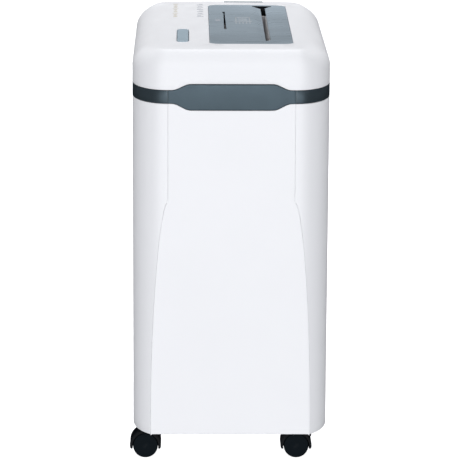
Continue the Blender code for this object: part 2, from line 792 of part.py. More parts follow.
def make_gears():
    shaft_a, shaft_b, motor = (SHAFT_A_X, SHAFT_Z), (SHAFT_B_X, SHAFT_Z), (MOTOR_X, MOTOR_Z)
    idler = idler_centre()
    bore = JOURNAL + FIT
    sync_a = gear_outline(SYNC_TEETH, CUTTER_MODULE, tooth_at=0.0, centre=shaft_a)
    sync_b = gear_outline(SYNC_TEETH, CUTTER_MODULE, gap_at=math.pi, centre=shaft_b)
    plate("sync_gear_a", [sync_a, circle(shaft_a, bore, 16)], *SYNC_SPAN, "Y", GEAR)
    plate("sync_gear_b", [sync_b, circle(shaft_b, bore, 16)], *SYNC_SPAN, "Y", GEAR)
    main = gear_outline(MAIN_TEETH, CUTTER_MODULE, tooth_at=direction(shaft_a, idler), centre=shaft_a)
    plate("main_gear", [main, circle(shaft_a, bore, 16)], *MAIN_SPAN, "Y", GEAR)
    small = gear_outline(IDLER_SMALL_TEETH, CUTTER_MODULE, gap_at=direction(idler, shaft_a), centre=idler)
    big = gear_outline(IDLER_BIG_TEETH, MOTOR_MODULE, tooth_at=direction(idler, motor), centre=idler)
    hole = circle(idler, PIN_RADIUS + FIT, 16)
    gear = to_mesh(plate("idler_gear", [big, hole], *MOTOR_SPAN, "Y"), GEAR)
    step = plate("idler_small", [small, hole], MAIN_SPAN[0], MOTOR_SPAN[0] + 0.001, "Y", None, CUTTERS)
    boolean(gear, to_mesh(step), "UNION")
    cylinder(
        "idler_pin", (idler[0], PLATE_Y + PLATE_THICK + FIT, idler[1]),
        (idler[0], MOTOR_SPAN[1] + 0.002, idler[1]),
        PIN_RADIUS, STEEL,
    )
    teeth = gear_outline(PINION_TEETH, MOTOR_MODULE, gap_at=direction(motor, idler), centre=motor)
    pinion = to_mesh(plate("motor_pinion", [teeth], *MOTOR_SPAN, "Y"), STEEL)
    shaft = cylinder(
        "pinion_shaft", (MOTOR_X, PLATE_Y + FIT, MOTOR_Z), (MOTOR_X, MOTOR_SPAN[0] + 0.001, MOTOR_Z), 0.0030,
        None, CUTTERS, 16,
    )
    boolean(pinion, shaft, "UNION")


def make_motor():
    """Round motor with a nose towards the rear plate and a bearing cap at the other end."""
    nose = PLATE_Y - FIT
    profile = [
        (0.0, nose), (0.009, nose), (0.009, nose - 0.004), (0.026, nose - 0.006),
        (0.026, 0.024), (0.024, 0.021),
        (0.008, 0.021), (0.008, 0.015), (0.0, 0.015),
    ]
    return turned("motor", profile, (MOTOR_X, 0, MOTOR_Z), (0, 1, 0), MOTOR_METAL, steps=24)


def make_gear_cover():
    """Box-shaped cover over the gear train, open towards the rear plate."""
    cover = box("gear_cover", (-0.060, PLATE_Y + PLATE_THICK + FIT, 0.396), (0.080, 0.168, 0.484), BLACK)
    work = bmesh.new()
    work.from_mesh(cover.data)
    open_side = [face for face in work.faces if face.normal.y < -0.9]
    bmesh.ops.delete(work, geom=open_side, context="FACES_ONLY")
    work.to_mesh(cover.data)
    work.free()
    return solidify(cover, 0.002)


def make_throat_guide():
    """Straight rectangular duct from the paper slot to the cutters, with a window for the disc chute."""
    outer = rectangle(PAPER_X - 0.0052, -0.1215, PAPER_X + 0.0052, 0.1215)
    inner = rectangle(PAPER_X - PAPER_HALF_GAP, -0.1185, PAPER_X + PAPER_HALF_GAP, 0.1185)
    guide = to_mesh(plate("throat_guide", [outer, inner], 0.462, 0.4935, "Z"), BLACK)
    window = box(
        "chute_window", (PAPER_X - 0.010, DISC_FRONT - 0.005, 0.46),
        (PAPER_X - 0.001, DISC_BACK + 0.005, 0.4745),
        None, CUTTERS,
    )
    return boolean(guide, window)


def make_disc_chute():
    """Slanted duct that leads a disc from its slot over the cutter to the nip."""
    start, end = Vector((DISC_X + 0.0015, 0, 0.4905)), Vector((0.0335, 0, 0.4665))
    middle_y = (DISC_FRONT + DISC_BACK) / 2
    half = (DISC_BACK - DISC_FRONT) / 2
    outer = rectangle(-0.0034, -half - 0.0042, 0.0034, half + 0.0042)
    inner = rectangle(-0.0016, -half - 0.0020, 0.0016, half + 0.0020)
    along = end - start
    centre = (start + end) / 2 + Vector((0, middle_y, 0))
    tilt = math.atan2(along.x, along.z)
    place = Matrix.Translation(centre) @ Matrix.Rotation(tilt, 4, "Y")
    return plate("disc_chute", [outer, inner], 0.0, along.length, "Z", BLACK, None, place)


def make_electrics():
    box("control_board", (-0.096, -0.140, 0.478), (-0.038, -0.036, 0.4796), BOARD)
    box("key_switch", (KEY_X - 0.006, KEY_Y - 0.008, 0.480), (KEY_X + 0.006, KEY_Y + 0.008, 0.492), BLACK)
    box("paper_sensor", (PAPER_X + 0.0056, -0.008, 0.470), (PAPER_X + 0.014, 0.008, 0.480), BLACK)
    switch = box(
        "interlock_switch", (INTERLOCK_X - 0.006, -0.172, DECK_HIGH + FIT),
        (INTERLOCK_X + 0.006, -0.156, 0.453), BLACK,
    )
    bore = cylinder(
        "plunger_bore", (INTERLOCK_X, -0.180, INTERLOCK_Z), (INTERLOCK_X, -0.160, INTERLOCK_Z),
        PLUNGER_RADIUS + FIT, None, CUTTERS, 12,
    )
    boolean(switch, bore)
    cylinder(
        "interlock_plunger", (INTERLOCK_X, PLUNGER_TIP, INTERLOCK_Z), (INTERLOCK_X, -0.1655, INTERLOCK_Z),
        PLUNGER_RADIUS, KEY_GREY, None, 12,
    )


def make_cutter_block():
    make_cutter_plate("cutter_plate_front", True)
    make_cutter_plate("cutter_plate_rear", False)
    for name, x, z in (("tie_rod_low", 0.001, 0.412), ("tie_rod_high", 0.085, 0.454)):
        cylinder(name, (x, FIT - PLATE_Y, z), (x, PLATE_Y - FIT, z), 0.004, STEEL, None, 12)
    along_a = [DISC_PITCH * k for k in range(-4, 5)]
    along_b = [DISC_PITCH * (k + 0.5) for k in range(-4, 4)]
    make_cutter_shaft("cutter_shaft_a", SHAFT_A_X, along_a, MAIN_SPAN[1] + 0.001)
    make_cutter_shaft("cutter_shaft_b", SHAFT_B_X, along_b, SYNC_SPAN[1] + 0.001)
    for place, start in (("front", -PLATE_Y - PLATE_THICK), ("rear", PLATE_Y)):
        make_bush(f"bush_{place}_a", SHAFT_A_X, start)
        make_bush(f"bush_{place}_b", SHAFT_B_X, start)


# ---------------------------------------------------------------- casters


def make_hood(name, axle_x, axle_y, swivel_x):
    """Fender over both wheels, with a web between them and a stem on the swivel axis."""
    steps = 12
    tip = 12
    inner = HOOD_RADIUS - 0.0024
    rings = []
    for k in range(steps + 1):
        angle = math.radians(-tip + (180 + 2 * tip) * k / steps)
        cos, sin = math.cos(angle), math.sin(angle)
        rings.append([
            (axle_x + radius * cos, axle_y + y, WHEEL_RADIUS + radius * sin)
            for radius, y in (
                (inner, HOOD_HALF_WIDTH), (HOOD_RADIUS, HOOD_HALF_WIDTH),
                (HOOD_RADIUS, -HOOD_HALF_WIDTH), (inner, -HOOD_HALF_WIDTH),
            )
        ])
    hood = loft(name, rings, BLACK, closed=True, caps=True)
    boss = cylinder(
        f"{name}_boss", (swivel_x, axle_y, 0.0240), (swivel_x, axle_y, BODY_LOW - 0.0002),
        0.0080, None, CUTTERS, 12,
    )
    boolean(hood, boss, "UNION")
    room = cylinder(
        f"{name}_room", (axle_x, axle_y - 0.02, WHEEL_RADIUS), (axle_x, axle_y + 0.02, WHEEL_RADIUS),
        inner - 0.0002, None, CUTTERS, 40,
    )
    boolean(hood, room)
    stem = cylinder(
        f"{name}_stem", (swivel_x, axle_y, 0.0330), (swivel_x, axle_y, STEM_TOP),
        STEM_RADIUS, None, CUTTERS, 12,
    )
    boolean(hood, stem, "UNION")
    web_radius = HOOD_RADIUS - 0.001
    web = []
    for k in range(steps + 1):
        angle = math.radians(-tip + (180 + 2 * tip) * k / steps)
        web.append((axle_x + web_radius * math.cos(angle), WHEEL_RADIUS + web_radius * math.sin(angle)))
    web = to_mesh(plate(f"{name}_web", [web], axle_y - WEB_HALF, axle_y + WEB_HALF, "Y", None, CUTTERS))
    boolean(hood, web, "UNION")
    hole = cylinder(
        f"{name}_hole", (axle_x, axle_y - 0.01, WHEEL_RADIUS), (axle_x, axle_y + 0.01, WHEEL_RADIUS),
        AXLE_RADIUS + FIT, None, CUTTERS, 12,
    )
    boolean(hood, hole)


def make_wheel(name, x, y_low, y_high):
    """Disc wheel that stands on one of its flats."""
    across = WHEEL_RADIUS / math.cos(math.pi / WHEEL_STEPS)
    bore = AXLE_RADIUS + FIT
    profile = [(bore, y_high), (across, y_high), (across, y_low), (bore, y_low)]
    turn = math.pi / WHEEL_STEPS
    turned(name, profile, (x, 0, WHEEL_RADIUS), (0, 1, 0), TYRE, steps=WHEEL_STEPS, turn=turn)


def make_socket(name, x, y):
    """Sleeve in the base plate that holds a caster's stem."""
    low, high = BODY_LOW + FIT, 0.0545
    bore = STEM_RADIUS + FIT
    profile = [
        (0.0, high), (SOCKET_RADIUS, high), (SOCKET_RADIUS, low), (bore, low), (bore, STEM_TOP + 0.0006),
        (0.0, STEM_TOP + 0.0006),
    ]
    turned(name, profile, (x, y, 0), (0, 0, 1), BLACK, steps=16)


def make_casters():
    """The front pair trails to the left and the rear pair to the right."""
    for place, sy in (("front", -1), ("rear", 1)):
        for side, sx in (("left", -1), ("right", 1)):
            swivel_x, y = sx * CASTER_X, sy * CASTER_Y
            axle_x = swivel_x + sy * TRAIL
            make_hood(f"caster_hood_{place}_{side}", axle_x, y, swivel_x)
            cylinder(
                f"caster_axle_{place}_{side}", (axle_x, y - HOOD_HALF_WIDTH + 0.001, WHEEL_RADIUS),
                (axle_x, y + HOOD_HALF_WIDTH - 0.001, WHEEL_RADIUS), AXLE_RADIUS, STEEL, None, 12,
            )
            inner = WEB_HALF + 0.0005
            make_wheel(f"caster_wheel_{place}_{side}_1", axle_x, y - HOOD_HALF_WIDTH, y - inner)
            make_wheel(f"caster_wheel_{place}_{side}_2", axle_x, y + inner, y + HOOD_HALF_WIDTH)
            make_socket(f"caster_socket_{place}_{side}", swivel_x, y)


clear_scene()
PARTS = new_collection("paper_shredder")
CUTTERS = new_collection("cutters", hidden=True)

WHITE = make_material("white_plastic", (0.86, 0.87, 0.89), 0.35)
SLATE = make_material("slate_plastic", (0.06, 0.08, 0.10), 0.35)
PANEL_GREY = make_material("panel_grey", (0.27, 0.31, 0.35), 0.35, 0.3)
KEY_GREY = make_material("key_grey", (0.37, 0.44, 0.51), 0.40)
GREY = make_material("grey_plastic", (0.36, 0.39, 0.42), 0.45)
BIN_GREY = make_material("bin_plastic", (0.08, 0.09, 0.10), 0.50)
BLACK = make_material("black_plastic", (0.010, 0.012, 0.015), 0.45)
DARK = make_material("gland_rubber", (0.015, 0.015, 0.016), 0.60)
TYRE = make_material("wheel_nylon", (0.012, 0.015, 0.019), 0.40)
STEEL = make_material("zinc_steel", (0.55, 0.56, 0.57), 0.35, 1.0)
CUTTER_STEEL = make_material("cutter_steel", (0.42, 0.43, 0.45), 0.30, 1.0)
BRASS = make_material("sintered_bronze", (0.50, 0.36, 0.18), 0.45, 1.0)
GEAR = make_material("gear_steel", (0.45, 0.45, 0.44), 0.40, 1.0)
MOTOR_METAL = make_material("motor_case", (0.30, 0.31, 0.32), 0.40, 1.0)
BOARD = make_material("circuit_board", (0.02, 0.16, 0.06), 0.50)

make_head_cover()
make_entry_panel()
make_vent_grille()
make_control_key()
make_trim_band()
make_side_panel("side_panel_right", flip=False)
make_side_panel("side_panel_left", flip=True)
make_rear_panel()
make_cord_gland()
make_base_plate()
make_deck()
make_bin_front()
make_bin_handle()
make_waste_bin()
make_cutter_block()
make_gears()
make_motor()
make_gear_cover()
make_throat_guide()
make_disc_chute()
make_electrics()
make_casters()
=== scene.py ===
"""Looks of the upright paper shredder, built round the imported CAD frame.

Metres, +Z up, front towards -Y.
"""

import json
import math

import bmesh
import bpy
from mathutils import Matrix, Vector


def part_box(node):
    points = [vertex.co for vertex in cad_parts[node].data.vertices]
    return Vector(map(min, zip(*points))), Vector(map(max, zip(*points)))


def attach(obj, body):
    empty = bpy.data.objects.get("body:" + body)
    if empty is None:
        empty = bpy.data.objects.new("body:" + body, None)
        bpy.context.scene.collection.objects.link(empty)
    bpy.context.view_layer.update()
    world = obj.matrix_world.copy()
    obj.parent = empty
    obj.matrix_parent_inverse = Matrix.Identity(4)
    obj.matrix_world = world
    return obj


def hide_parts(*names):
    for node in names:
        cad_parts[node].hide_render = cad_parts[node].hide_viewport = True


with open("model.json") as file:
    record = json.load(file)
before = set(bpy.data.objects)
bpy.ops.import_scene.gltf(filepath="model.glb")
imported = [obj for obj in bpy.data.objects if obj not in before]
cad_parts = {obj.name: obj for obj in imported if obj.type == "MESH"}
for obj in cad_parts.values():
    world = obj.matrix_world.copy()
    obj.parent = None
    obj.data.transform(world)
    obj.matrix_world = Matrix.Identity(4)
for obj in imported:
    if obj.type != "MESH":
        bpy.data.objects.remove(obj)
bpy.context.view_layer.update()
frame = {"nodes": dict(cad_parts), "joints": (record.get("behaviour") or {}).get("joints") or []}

# ---------------------------------------------------------------- camera, the photo's angle

CAMERA_TILT = math.radians(13.0)
CAMERA_YAW = math.radians(0.914)
CAMERA_ROLL = math.radians(0.29)
CAMERA_PLACE = (-0.0504, -3.2586, 0.995)
CAMERA_LENS = 209.8
camera_data = bpy.data.cameras.new("camera")
camera_data.sensor_width = 36.0
camera_data.lens = CAMERA_LENS
camera = bpy.data.objects.new("camera", camera_data)
camera.location = CAMERA_PLACE
camera_turn = Matrix.Rotation(-CAMERA_YAW, 3, "Z") @ Matrix.Rotation(math.pi / 2 - CAMERA_TILT, 3, "X")
camera.rotation_euler = (camera_turn @ Matrix.Rotation(CAMERA_ROLL, 3, "Z")).to_euler()
bpy.context.scene.collection.objects.link(camera)
bpy.context.scene.camera = camera
bpy.context.scene.view_settings.view_transform = "Standard"

# ---------------------------------------------------------------- sizes taken from the frame

SIDE_LOW, SIDE_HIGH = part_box("side_panel_right")
TRIM_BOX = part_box("trim_band")
DOOR_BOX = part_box("bin_front")
HANDLE_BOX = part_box("bin_handle")
PANEL_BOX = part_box("entry_panel")
KEY_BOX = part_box("control_key")
TUB_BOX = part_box("waste_bin")

HALF = SIDE_HIGH.x
FRONT = SIDE_LOW.y
BACK = SIDE_HIGH.y
BODY_LOW = SIDE_LOW.z
TRIM_LOW = TRIM_BOX[0].z
TRIM_HIGH = TRIM_BOX[1].z
SIDE_TOP = SIDE_HIGH.z
WALL = 0.0025
GAP = 0.0004
# Share of a softened edge that is left at the middle of its rounding
ROUND = 0.3

# Plan shape and drawer front, as in the CAD
FLAT_HALF = 0.0744
CORNER_WIDTH = HALF - FLAT_HALF
CORNER_DEPTH = 0.065
REAR_RADIUS = 0.040
RECESS_TOP = 0.3208
RECESS = 0.0086
RECESS_EASE = 1.1
SEAM = 0.0001
DOOR_DEPTH = DOOR_BOX[1].y - FRONT
GRIP_HALF = 0.0512
GRIP_SLOPE_END = 0.0664
GRIP_LOW = HANDLE_BOX[0].z
GRIP_HIGH = HANDLE_BOX[1].z
BOW = FRONT - HANDLE_BOX[0].y

# Head: rise of its top, insets and rises of its rounded edges, and the vent over its rear edge
TOP_FRONT = 0.5000
TOP_RISE = 0.0024
CROWN = 0.0020
KEY_ROOM = 0.0006
VENT_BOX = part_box("vent_grille")
VENT_FRONT = 0.1700
VENT_BEND = 0.1770
VENT_TUCK = 0.12
VENT_LIP = 0.0018
SLIT_COUNT = 6
SLIT_HALF = 0.0012
SLIT_FRONT = 0.1882
SLIT_REAR = 0.1925
CUT_BOTTOM = 0.40
CUT_TOP = 0.53
SIDE_INSET = 0.036
SIDE_RISE = 0.026
FRONT_INSET = 0.010
FRONT_RISE = 0.022
REAR_FILLET = 0.014
TOP_CENTRE = 0.080

# Control key, with places and widths of its dishes as shares of half its length
KEY_CORNER_X = 0.0040
KEY_CORNER_Y = 0.0110
DISH_DEPTH = 0.0005
DISH_PLACE = 0.66
DISH_WIDTH = 0.20

# Entry panel: paper slot in a shallow valley whose rear end (the mouth) is covered with painted shade, and a
# tapered disc slot
PAPER_X = 0.044
PAPER_HALF_LENGTH = 0.118
PAPER_HALF_GAP = 0.0029
PAPER_CORNER = 0.0014
VALLEY_X = 0.0425
VALLEY_DEPTH = 0.003
VALLEY_HALF = 0.0135
VALLEY_START = 0.004
VALLEY_RISE = 0.150
VALLEY_STOP = 0.010
VALLEY_END = 0.003
MOUTH_X = 0.0425
MOUTH_HALF = 0.0122
MOUTH_DEPTH = 0.0034
MOUTH_LIFT = 0.00012
SLOT_END_HEIGHT = 0.0075
PAPER_REAR = PANEL_BOX[1].y - 0.0136
DISC_X = -0.006
DISC_FRONT = -0.041
DISC_BACK = 0.082
DISC_HALF_GAP = 0.0014
DISC_CORNER = 0.0013
DISC_TAPER = 0.40
PANEL_RADIUS = 0.011

# Symbols
PICTOGRAM_X = 0.0165
PICTOGRAM_Y = 0.030
PALE_MARKS_X = -0.067
GREY_MARKS_X = -0.036
MARKS_FRONT = 0.056
PALE_MARKS_REAR = 0.150
GREY_MARKS_REAR = 0.148
DISC_MARK_X = -0.0145
DISC_MARK_Y = 0.026


# ---------------------------------------------------------------- materials


class Nodes:
    """Small helper that builds a material's node tree."""

    def __init__(self, name):
        self.material = bpy.data.materials.new(name)
        self.material.use_nodes = True
        self.tree = self.material.node_tree
        self.shader = self.tree.nodes["Principled BSDF"]
        self.coords = self.tree.nodes.new("ShaderNodeTexCoord").outputs["Object"]

    def node(self, kind, **values):
        made = self.tree.nodes.new(kind)
        for key, value in values.items():
            if key in made.inputs:
                made.inputs[key].default_value = value
            else:
                setattr(made, key, value)
        return made

    def link(self, start, end):
        self.tree.links.new(start, end)

    def noise(self, scale, detail=2.0, roughness=0.5, stretch=(1, 1, 1)):
        mapping = self.node("ShaderNodeMapping")
        mapping.inputs["Scale"].default_value = stretch
        self.link(self.coords, mapping.inputs["Vector"])
        texture = self.node("ShaderNodeTexNoise")
        texture.inputs["Scale"].default_value = scale
        texture.inputs["Detail"].default_value = detail
        texture.inputs["Roughness"].default_value = roughness
        self.link(mapping.outputs["Vector"], texture.inputs["Vector"])
        return texture.outputs["Fac"]

    def spread(self, source, low, high, start=0.3, end=0.7):
        made = self.node("ShaderNodeMapRange")
        for key, value in (("From Min", start), ("From Max", end), ("To Min", low), ("To Max", high)):
            made.inputs[key].default_value = value
        self.link(source, made.inputs["Value"])
        return made.outputs["Result"]

    def mix(self, factor, first, second):
        made = self.node("ShaderNodeMix", data_type="RGBA")
        slots = [s for s in made.inputs if s.type == "RGBA"]
        fac = [s for s in made.inputs if s.type == "VALUE"][0]
        for slot, value in zip(slots, (first, second)):
            if isinstance(value, tuple):
                slot.default_value = (*value, 1.0)
            else:
                self.link(value, slot)
        self.link(factor, fac)
        return [s for s in made.outputs if s.type == "RGBA"][0]

    def bump(self, height, distance, strength=1.0, normal=None):
        made = self.node("ShaderNodeBump")
        made.inputs["Strength"].default_value = strength
        made.inputs["Distance"].default_value = distance
        self.link(height, made.inputs["Height"])
        if normal:
            self.link(normal, made.inputs["Normal"])
        return made.outputs["Normal"]


def shade(colour, factor):
    return tuple(min(1.0, max(0.0, channel * factor)) for channel in colour)


def plastic(name, colour, roughness, grain=900.0, depth=0.00003, wear=0.06, spec=0.5, metallic=0.0):
    """Moulded plastic: fine spark-eroded grain, faint flow mottling, and edges rubbed slightly paler."""
    n = Nodes(name)
    n.shader.inputs["Metallic"].default_value = metallic
    n.shader.inputs["Specular IOR Level"].default_value = spec
    mottle = n.mix(n.noise(14.0, 3.0), shade(colour, 0.985), shade(colour, 1.012))
    geometry = n.node("ShaderNodeNewGeometry")
    edge = n.spread(geometry.outputs["Pointiness"], 0.0, wear, 0.52, 0.60)
    pale = tuple(channel + (1 - channel) * 0.5 for channel in colour)
    n.link(n.mix(edge, mottle, pale), n.shader.inputs["Base Color"])
    n.link(n.spread(n.noise(60.0, 4.0), roughness - 0.04, roughness + 0.05), n.shader.inputs["Roughness"])
    grain_bump = n.bump(n.noise(grain, 3.0), depth, 0.6)
    n.link(n.bump(n.noise(7.0, 1.0), 0.0004, 0.25, grain_bump), n.shader.inputs["Normal"])
    return n.material


def metal(name, colour, roughness, stretch=(1, 1, 1), scale=300.0, depth=0.00002, oil=None):
    """Machined or drawn metal: fine lay along one direction, stains and handling marks."""
    n = Nodes(name)
    n.shader.inputs["Metallic"].default_value = 1.0
    lay = n.noise(scale, 4.0, 0.6, stretch)
    stain = n.noise(25.0, 5.0, 0.65)
    base = n.mix(n.spread(stain, 0.0, 1.0), shade(colour, 0.86), shade(colour, 1.08))
    if oil:
        base = n.mix(n.spread(n.noise(45.0, 4.0), 0.0, 0.7, 0.55, 0.75), base, oil)
    n.link(base, n.shader.inputs["Base Color"])
    n.link(n.spread(lay, roughness - 0.08, roughness + 0.12), n.shader.inputs["Roughness"])
    n.link(n.bump(lay, depth, 0.7), n.shader.inputs["Normal"])
    return n.material


def brushed(name, colour, roughness):
    """Metallic lacquer with fine streaks across the panel and slow cloudy changes of tone, and painted
    reflection: darker towards the front, lighter towards the rear.
    """
    n = Nodes(name)
    n.shader.inputs["Metallic"].default_value = 0.25
    streaks = n.noise(90.0, 5.0, 0.6, (0.12, 1.0, 1.0))
    clouds = n.noise(9.0, 2.0, 0.5, (0.6, 1.0, 1.0))
    # Painted reflection: the colour runs from a darker front to a lighter rear along the panel's depth.
    place = n.node("ShaderNodeSeparateXYZ")
    n.link(n.coords, place.inputs["Vector"])
    depth = n.spread(place.outputs["Y"], 0.0, 1.0, -0.11, 0.12)
    front = n.mix(n.spread(clouds, 0.0, 1.0, 0.35, 0.65), shade(colour, 0.74), shade(colour, 1.00))
    rear = n.mix(n.spread(clouds, 0.0, 1.0, 0.35, 0.65), shade(colour, 1.06), shade(colour, 1.36))
    base = n.mix(depth, front, rear)
    dark = n.mix(n.spread(streaks, 0.0, 0.5), base, shade(colour, 0.80))
    geometry = n.node("ShaderNodeNewGeometry")
    edge = n.spread(geometry.outputs["Pointiness"], 0.0, 0.12, 0.52, 0.60)
    n.link(n.mix(edge, dark, shade(colour, 2.0)), n.shader.inputs["Base Color"])
    n.link(n.spread(streaks, roughness - 0.05, roughness + 0.08), n.shader.inputs["Roughness"])
    n.link(n.bump(streaks, 0.00002, 0.6), n.shader.inputs["Normal"])
    return n.material


def circuit_board():
    """Green mask over copper tracks laid out on a square grid."""
    n = Nodes("circuit_board_look")
    brick = n.node("ShaderNodeTexBrick")
    n.link(n.coords, brick.inputs["Vector"])
    for key, value in (("Scale", 160.0), ("Mortar Size", 0.012), ("Brick Width", 0.9), ("Row Height", 0.3)):
        brick.inputs[key].default_value = value
    tracks = n.mix(brick.outputs["Fac"], (0.015, 0.13, 0.05), (0.03, 0.22, 0.08))
    pads = n.spread(n.noise(420.0, 0.0), 0.0, 1.0, 0.68, 0.70)
    n.link(n.mix(pads, tracks, (0.55, 0.54, 0.50)), n.shader.inputs["Base Color"])
    n.shader.inputs["Roughness"].default_value = 0.35
    n.link(n.bump(brick.outputs["Fac"], 0.00003), n.shader.inputs["Normal"])
    return n.material


WHITE = plastic("white_look", (0.87, 0.875, 0.90), 0.36, spec=0.45)
SLATE = plastic("slate_look", (0.134, 0.186, 0.224), 0.36, grain=1100.0, wear=0.10, spec=0.5, metallic=0.8)
PANEL = brushed("panel_look", (0.440, 0.520, 0.585), 0.30)
KEY = plastic("key_look", (0.43, 0.53, 0.60), 0.40, grain=1300.0, wear=0.10, spec=0.5, metallic=0.15)
VENT = plastic("vent_look", (0.33, 0.36, 0.39), 0.55, grain=700.0, spec=0.2)
TUB = plastic("tub_look", (0.075, 0.085, 0.095), 0.48, grain=500.0, depth=0.00006, wear=0.12)
THROAT = plastic("throat_look", (0.80, 0.79, 0.80), 0.45, grain=600.0)
BLACK = plastic("black_look", (0.004, 0.005, 0.007), 0.50, spec=0.06, grain=600.0, depth=0.00005, wear=0.04)
NYLON = plastic("nylon_look", (0.005, 0.008, 0.011), 0.50, spec=0.06, grain=450.0, depth=0.00004, wear=0.015)
RUBBER = plastic("rubber_look", (0.016, 0.016, 0.017), 0.62, grain=800.0, depth=0.00006, wear=0.05)
SYMBOL_PALE = plastic("symbol_pale_look", (0.60, 0.56, 0.47), 0.45, wear=0.0)
SYMBOL_GREY = plastic("symbol_grey_look", (0.40, 0.42, 0.46), 0.45, wear=0.0)
EMBOSS = plastic("emboss_look", (0.62, 0.66, 0.70), 0.35, wear=0.0, metallic=0.3)
ZINC = metal("zinc_look", (0.62, 0.63, 0.64), 0.34)
CUTTER = metal("cutter_look", (0.46, 0.47, 0.49), 0.28, (1, 30, 1), 120.0, oil=(0.10, 0.08, 0.06))
BRONZE = metal("bronze_look", (0.55, 0.38, 0.18), 0.42, oil=(0.16, 0.10, 0.05))
GEAR = metal("gear_look", (0.48, 0.48, 0.47), 0.38, (1, 1, 1), 500.0, oil=(0.12, 0.09, 0.05))
MOTOR = metal("motor_look", (0.34, 0.35, 0.36), 0.38, (1, 20, 1), 90.0)
BOARD = circuit_board()

# Looks of the CAD nodes that are shown as they are
NODE_LOOKS = (
    (WHITE, ["base_plate"]),
    (ZINC, ["deck_rail_left", "deck_rail_right", "cutter_plate_front", "cutter_plate_rear"]),
    (ZINC, ["tie_rod_low", "tie_rod_high", "idler_pin"]),
    (GEAR, ["motor_pinion", "main_gear", "idler_gear", "sync_gear_a", "sync_gear_b"]),
    (BRONZE, ["bush_front_a", "bush_front_b", "bush_rear_a", "bush_rear_b"]),
    (CUTTER, ["cutter_shaft_a", "cutter_shaft_b"]),
    (MOTOR, ["motor"]),
    (THROAT, ["throat_guide", "disc_chute"]),
    (BLACK, ["gear_cover", "key_switch", "paper_sensor", "interlock_switch"]),
    (KEY, ["interlock_plunger"]),
    (BOARD, ["control_board"]),
    (RUBBER, ["cord_gland"]),
)


# ---------------------------------------------------------------- mesh helpers


def finish_piece(obj, material, body, nodes=(), degrees=32):
    obj.data.materials.clear()
    obj.data.materials.append(material)
    obj.data.shade_smooth()
    obj.data.set_sharp_from_angle(angle=math.radians(degrees))
    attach(obj, body)
    if nodes:
        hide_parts(*nodes)
    return obj


def new_object(name, mesh):
    obj = bpy.data.objects.new(name, mesh)
    bpy.context.scene.collection.objects.link(obj)
    return obj


def grid(name, rows, closed_rows=False, closed_columns=False, caps=False):
    """Skin over rows of points. Columns may close into rings, and the first and last row may be capped."""
    mesh = bpy.data.meshes.new(name)
    work = bmesh.new()
    made = [[work.verts.new(point) for point in row] for row in rows]
    count = len(rows[0])
    pairs = list(zip(made, made[1:]))
    if closed_rows:
        pairs.append((made[-1], made[0]))
    for low, high in pairs:
        for j in range(count if closed_columns else count - 1):
            k = (j + 1) % count
            work.faces.new((low[j], low[k], high[k], high[j]))
    if caps:
        work.faces.new(made[0][::-1])
        work.faces.new(made[-1])
        bmesh.ops.recalc_face_normals(work, faces=work.faces)
    work.to_mesh(mesh)
    work.free()
    return new_object(name, mesh)


def solid(name, rings):
    """Closed solid skinned over rings of points, with its first and last ring capped."""
    return grid(name, rings, closed_columns=True, caps=True)


def upright(name, outline, levels):
    """Solid with the same (x, y) outline at each height."""
    return solid(name, [[(x, y, z) for x, y in outline] for z in levels])


def crosswise(name, outline, levels):
    """Solid with the same (x, z) outline at each y."""
    return solid(name, [[(x, y, z) for x, z in outline] for y in levels])


def bake(obj):
    """Applies the object's modifiers."""
    bpy.context.view_layer.update()
    graph = bpy.context.evaluated_depsgraph_get()
    mesh = bpy.data.meshes.new_from_object(obj.evaluated_get(graph))
    obj.modifiers.clear()
    old = obj.data
    obj.data = mesh
    bpy.data.meshes.remove(old)
    return obj


def solidify(obj, thickness=WALL):
    modifier = obj.modifiers.new("wall", "SOLIDIFY")
    modifier.thickness = thickness
    modifier.offset = -1.0
    return obj


def cut(obj, *cutters, operation="DIFFERENCE"):
    """Cuts obj with each cutter in turn, then removes the cutters."""
    for cutter in cutters:
        modifier = obj.modifiers.new("cut", "BOOLEAN")
        modifier.operation = operation
        modifier.object = cutter
        modifier.solver = "MANIFOLD"
    bake(obj)
    for cutter in cutters:
        bpy.data.objects.remove(cutter, do_unlink=True)
    return obj


def bevel(obj, width, segments=2, degrees=35):
    modifier = obj.modifiers.new("edges", "BEVEL")
    modifier.width = width
    modifier.segments = segments
    modifier.limit_method = "ANGLE"
    modifier.angle_limit = math.radians(degrees)
    return obj


def box(name, low, high):
    mesh = bpy.data.meshes.new(name)
    work = bmesh.new()
    size = Vector(high) - Vector(low)
    centre = (Vector(high) + Vector(low)) / 2
    bmesh.ops.create_cube(work, size=1.0, matrix=Matrix.Translation(centre) @ Matrix.Diagonal((*size, 1.0)))
    work.to_mesh(mesh)
    work.free()
    return new_object(name, mesh)


def arc(centre_u, centre_v, radius, start, end, steps):
    """Points of an arc in a plane, angles in degrees."""
    points = []
    for k in range(steps + 1):
        angle = math.radians(start + (end - start) * k / steps)
        points.append((centre_u + radius * math.cos(angle), centre_v + radius * math.sin(angle)))
    return points


def rounded_rectangle(low_u, low_v, high_u, high_v, radius, steps=8):
    points = arc(high_u - radius, low_v + radius, radius, -90, 0, steps)
    points += arc(high_u - radius, high_v - radius, radius, 0, 90, steps)
    points += arc(low_u + radius, high_v - radius, radius, 90, 180, steps)
    points += arc(low_u + radius, low_v + radius, radius, 180, 270, steps)
    return points


def sweep(low, high, steps):
    return [low + (high - low) * k / steps for k in range(steps + 1)]


def join(name, objects):
    """Joins finished pieces of one material into one object."""
    work = bmesh.new()
    for obj in objects:
        part = obj.data
        part.transform(obj.matrix_world)
        work.from_mesh(part)
        bpy.data.objects.remove(obj, do_unlink=True)
    mesh = bpy.data.meshes.new(name)
    work.to_mesh(mesh)
    work.free()
    return new_object(name, mesh)


# ---------------------------------------------------------------- shared shape of the housing


def mirrored(points):
    return [(-x, y) for x, y in reversed(points)]


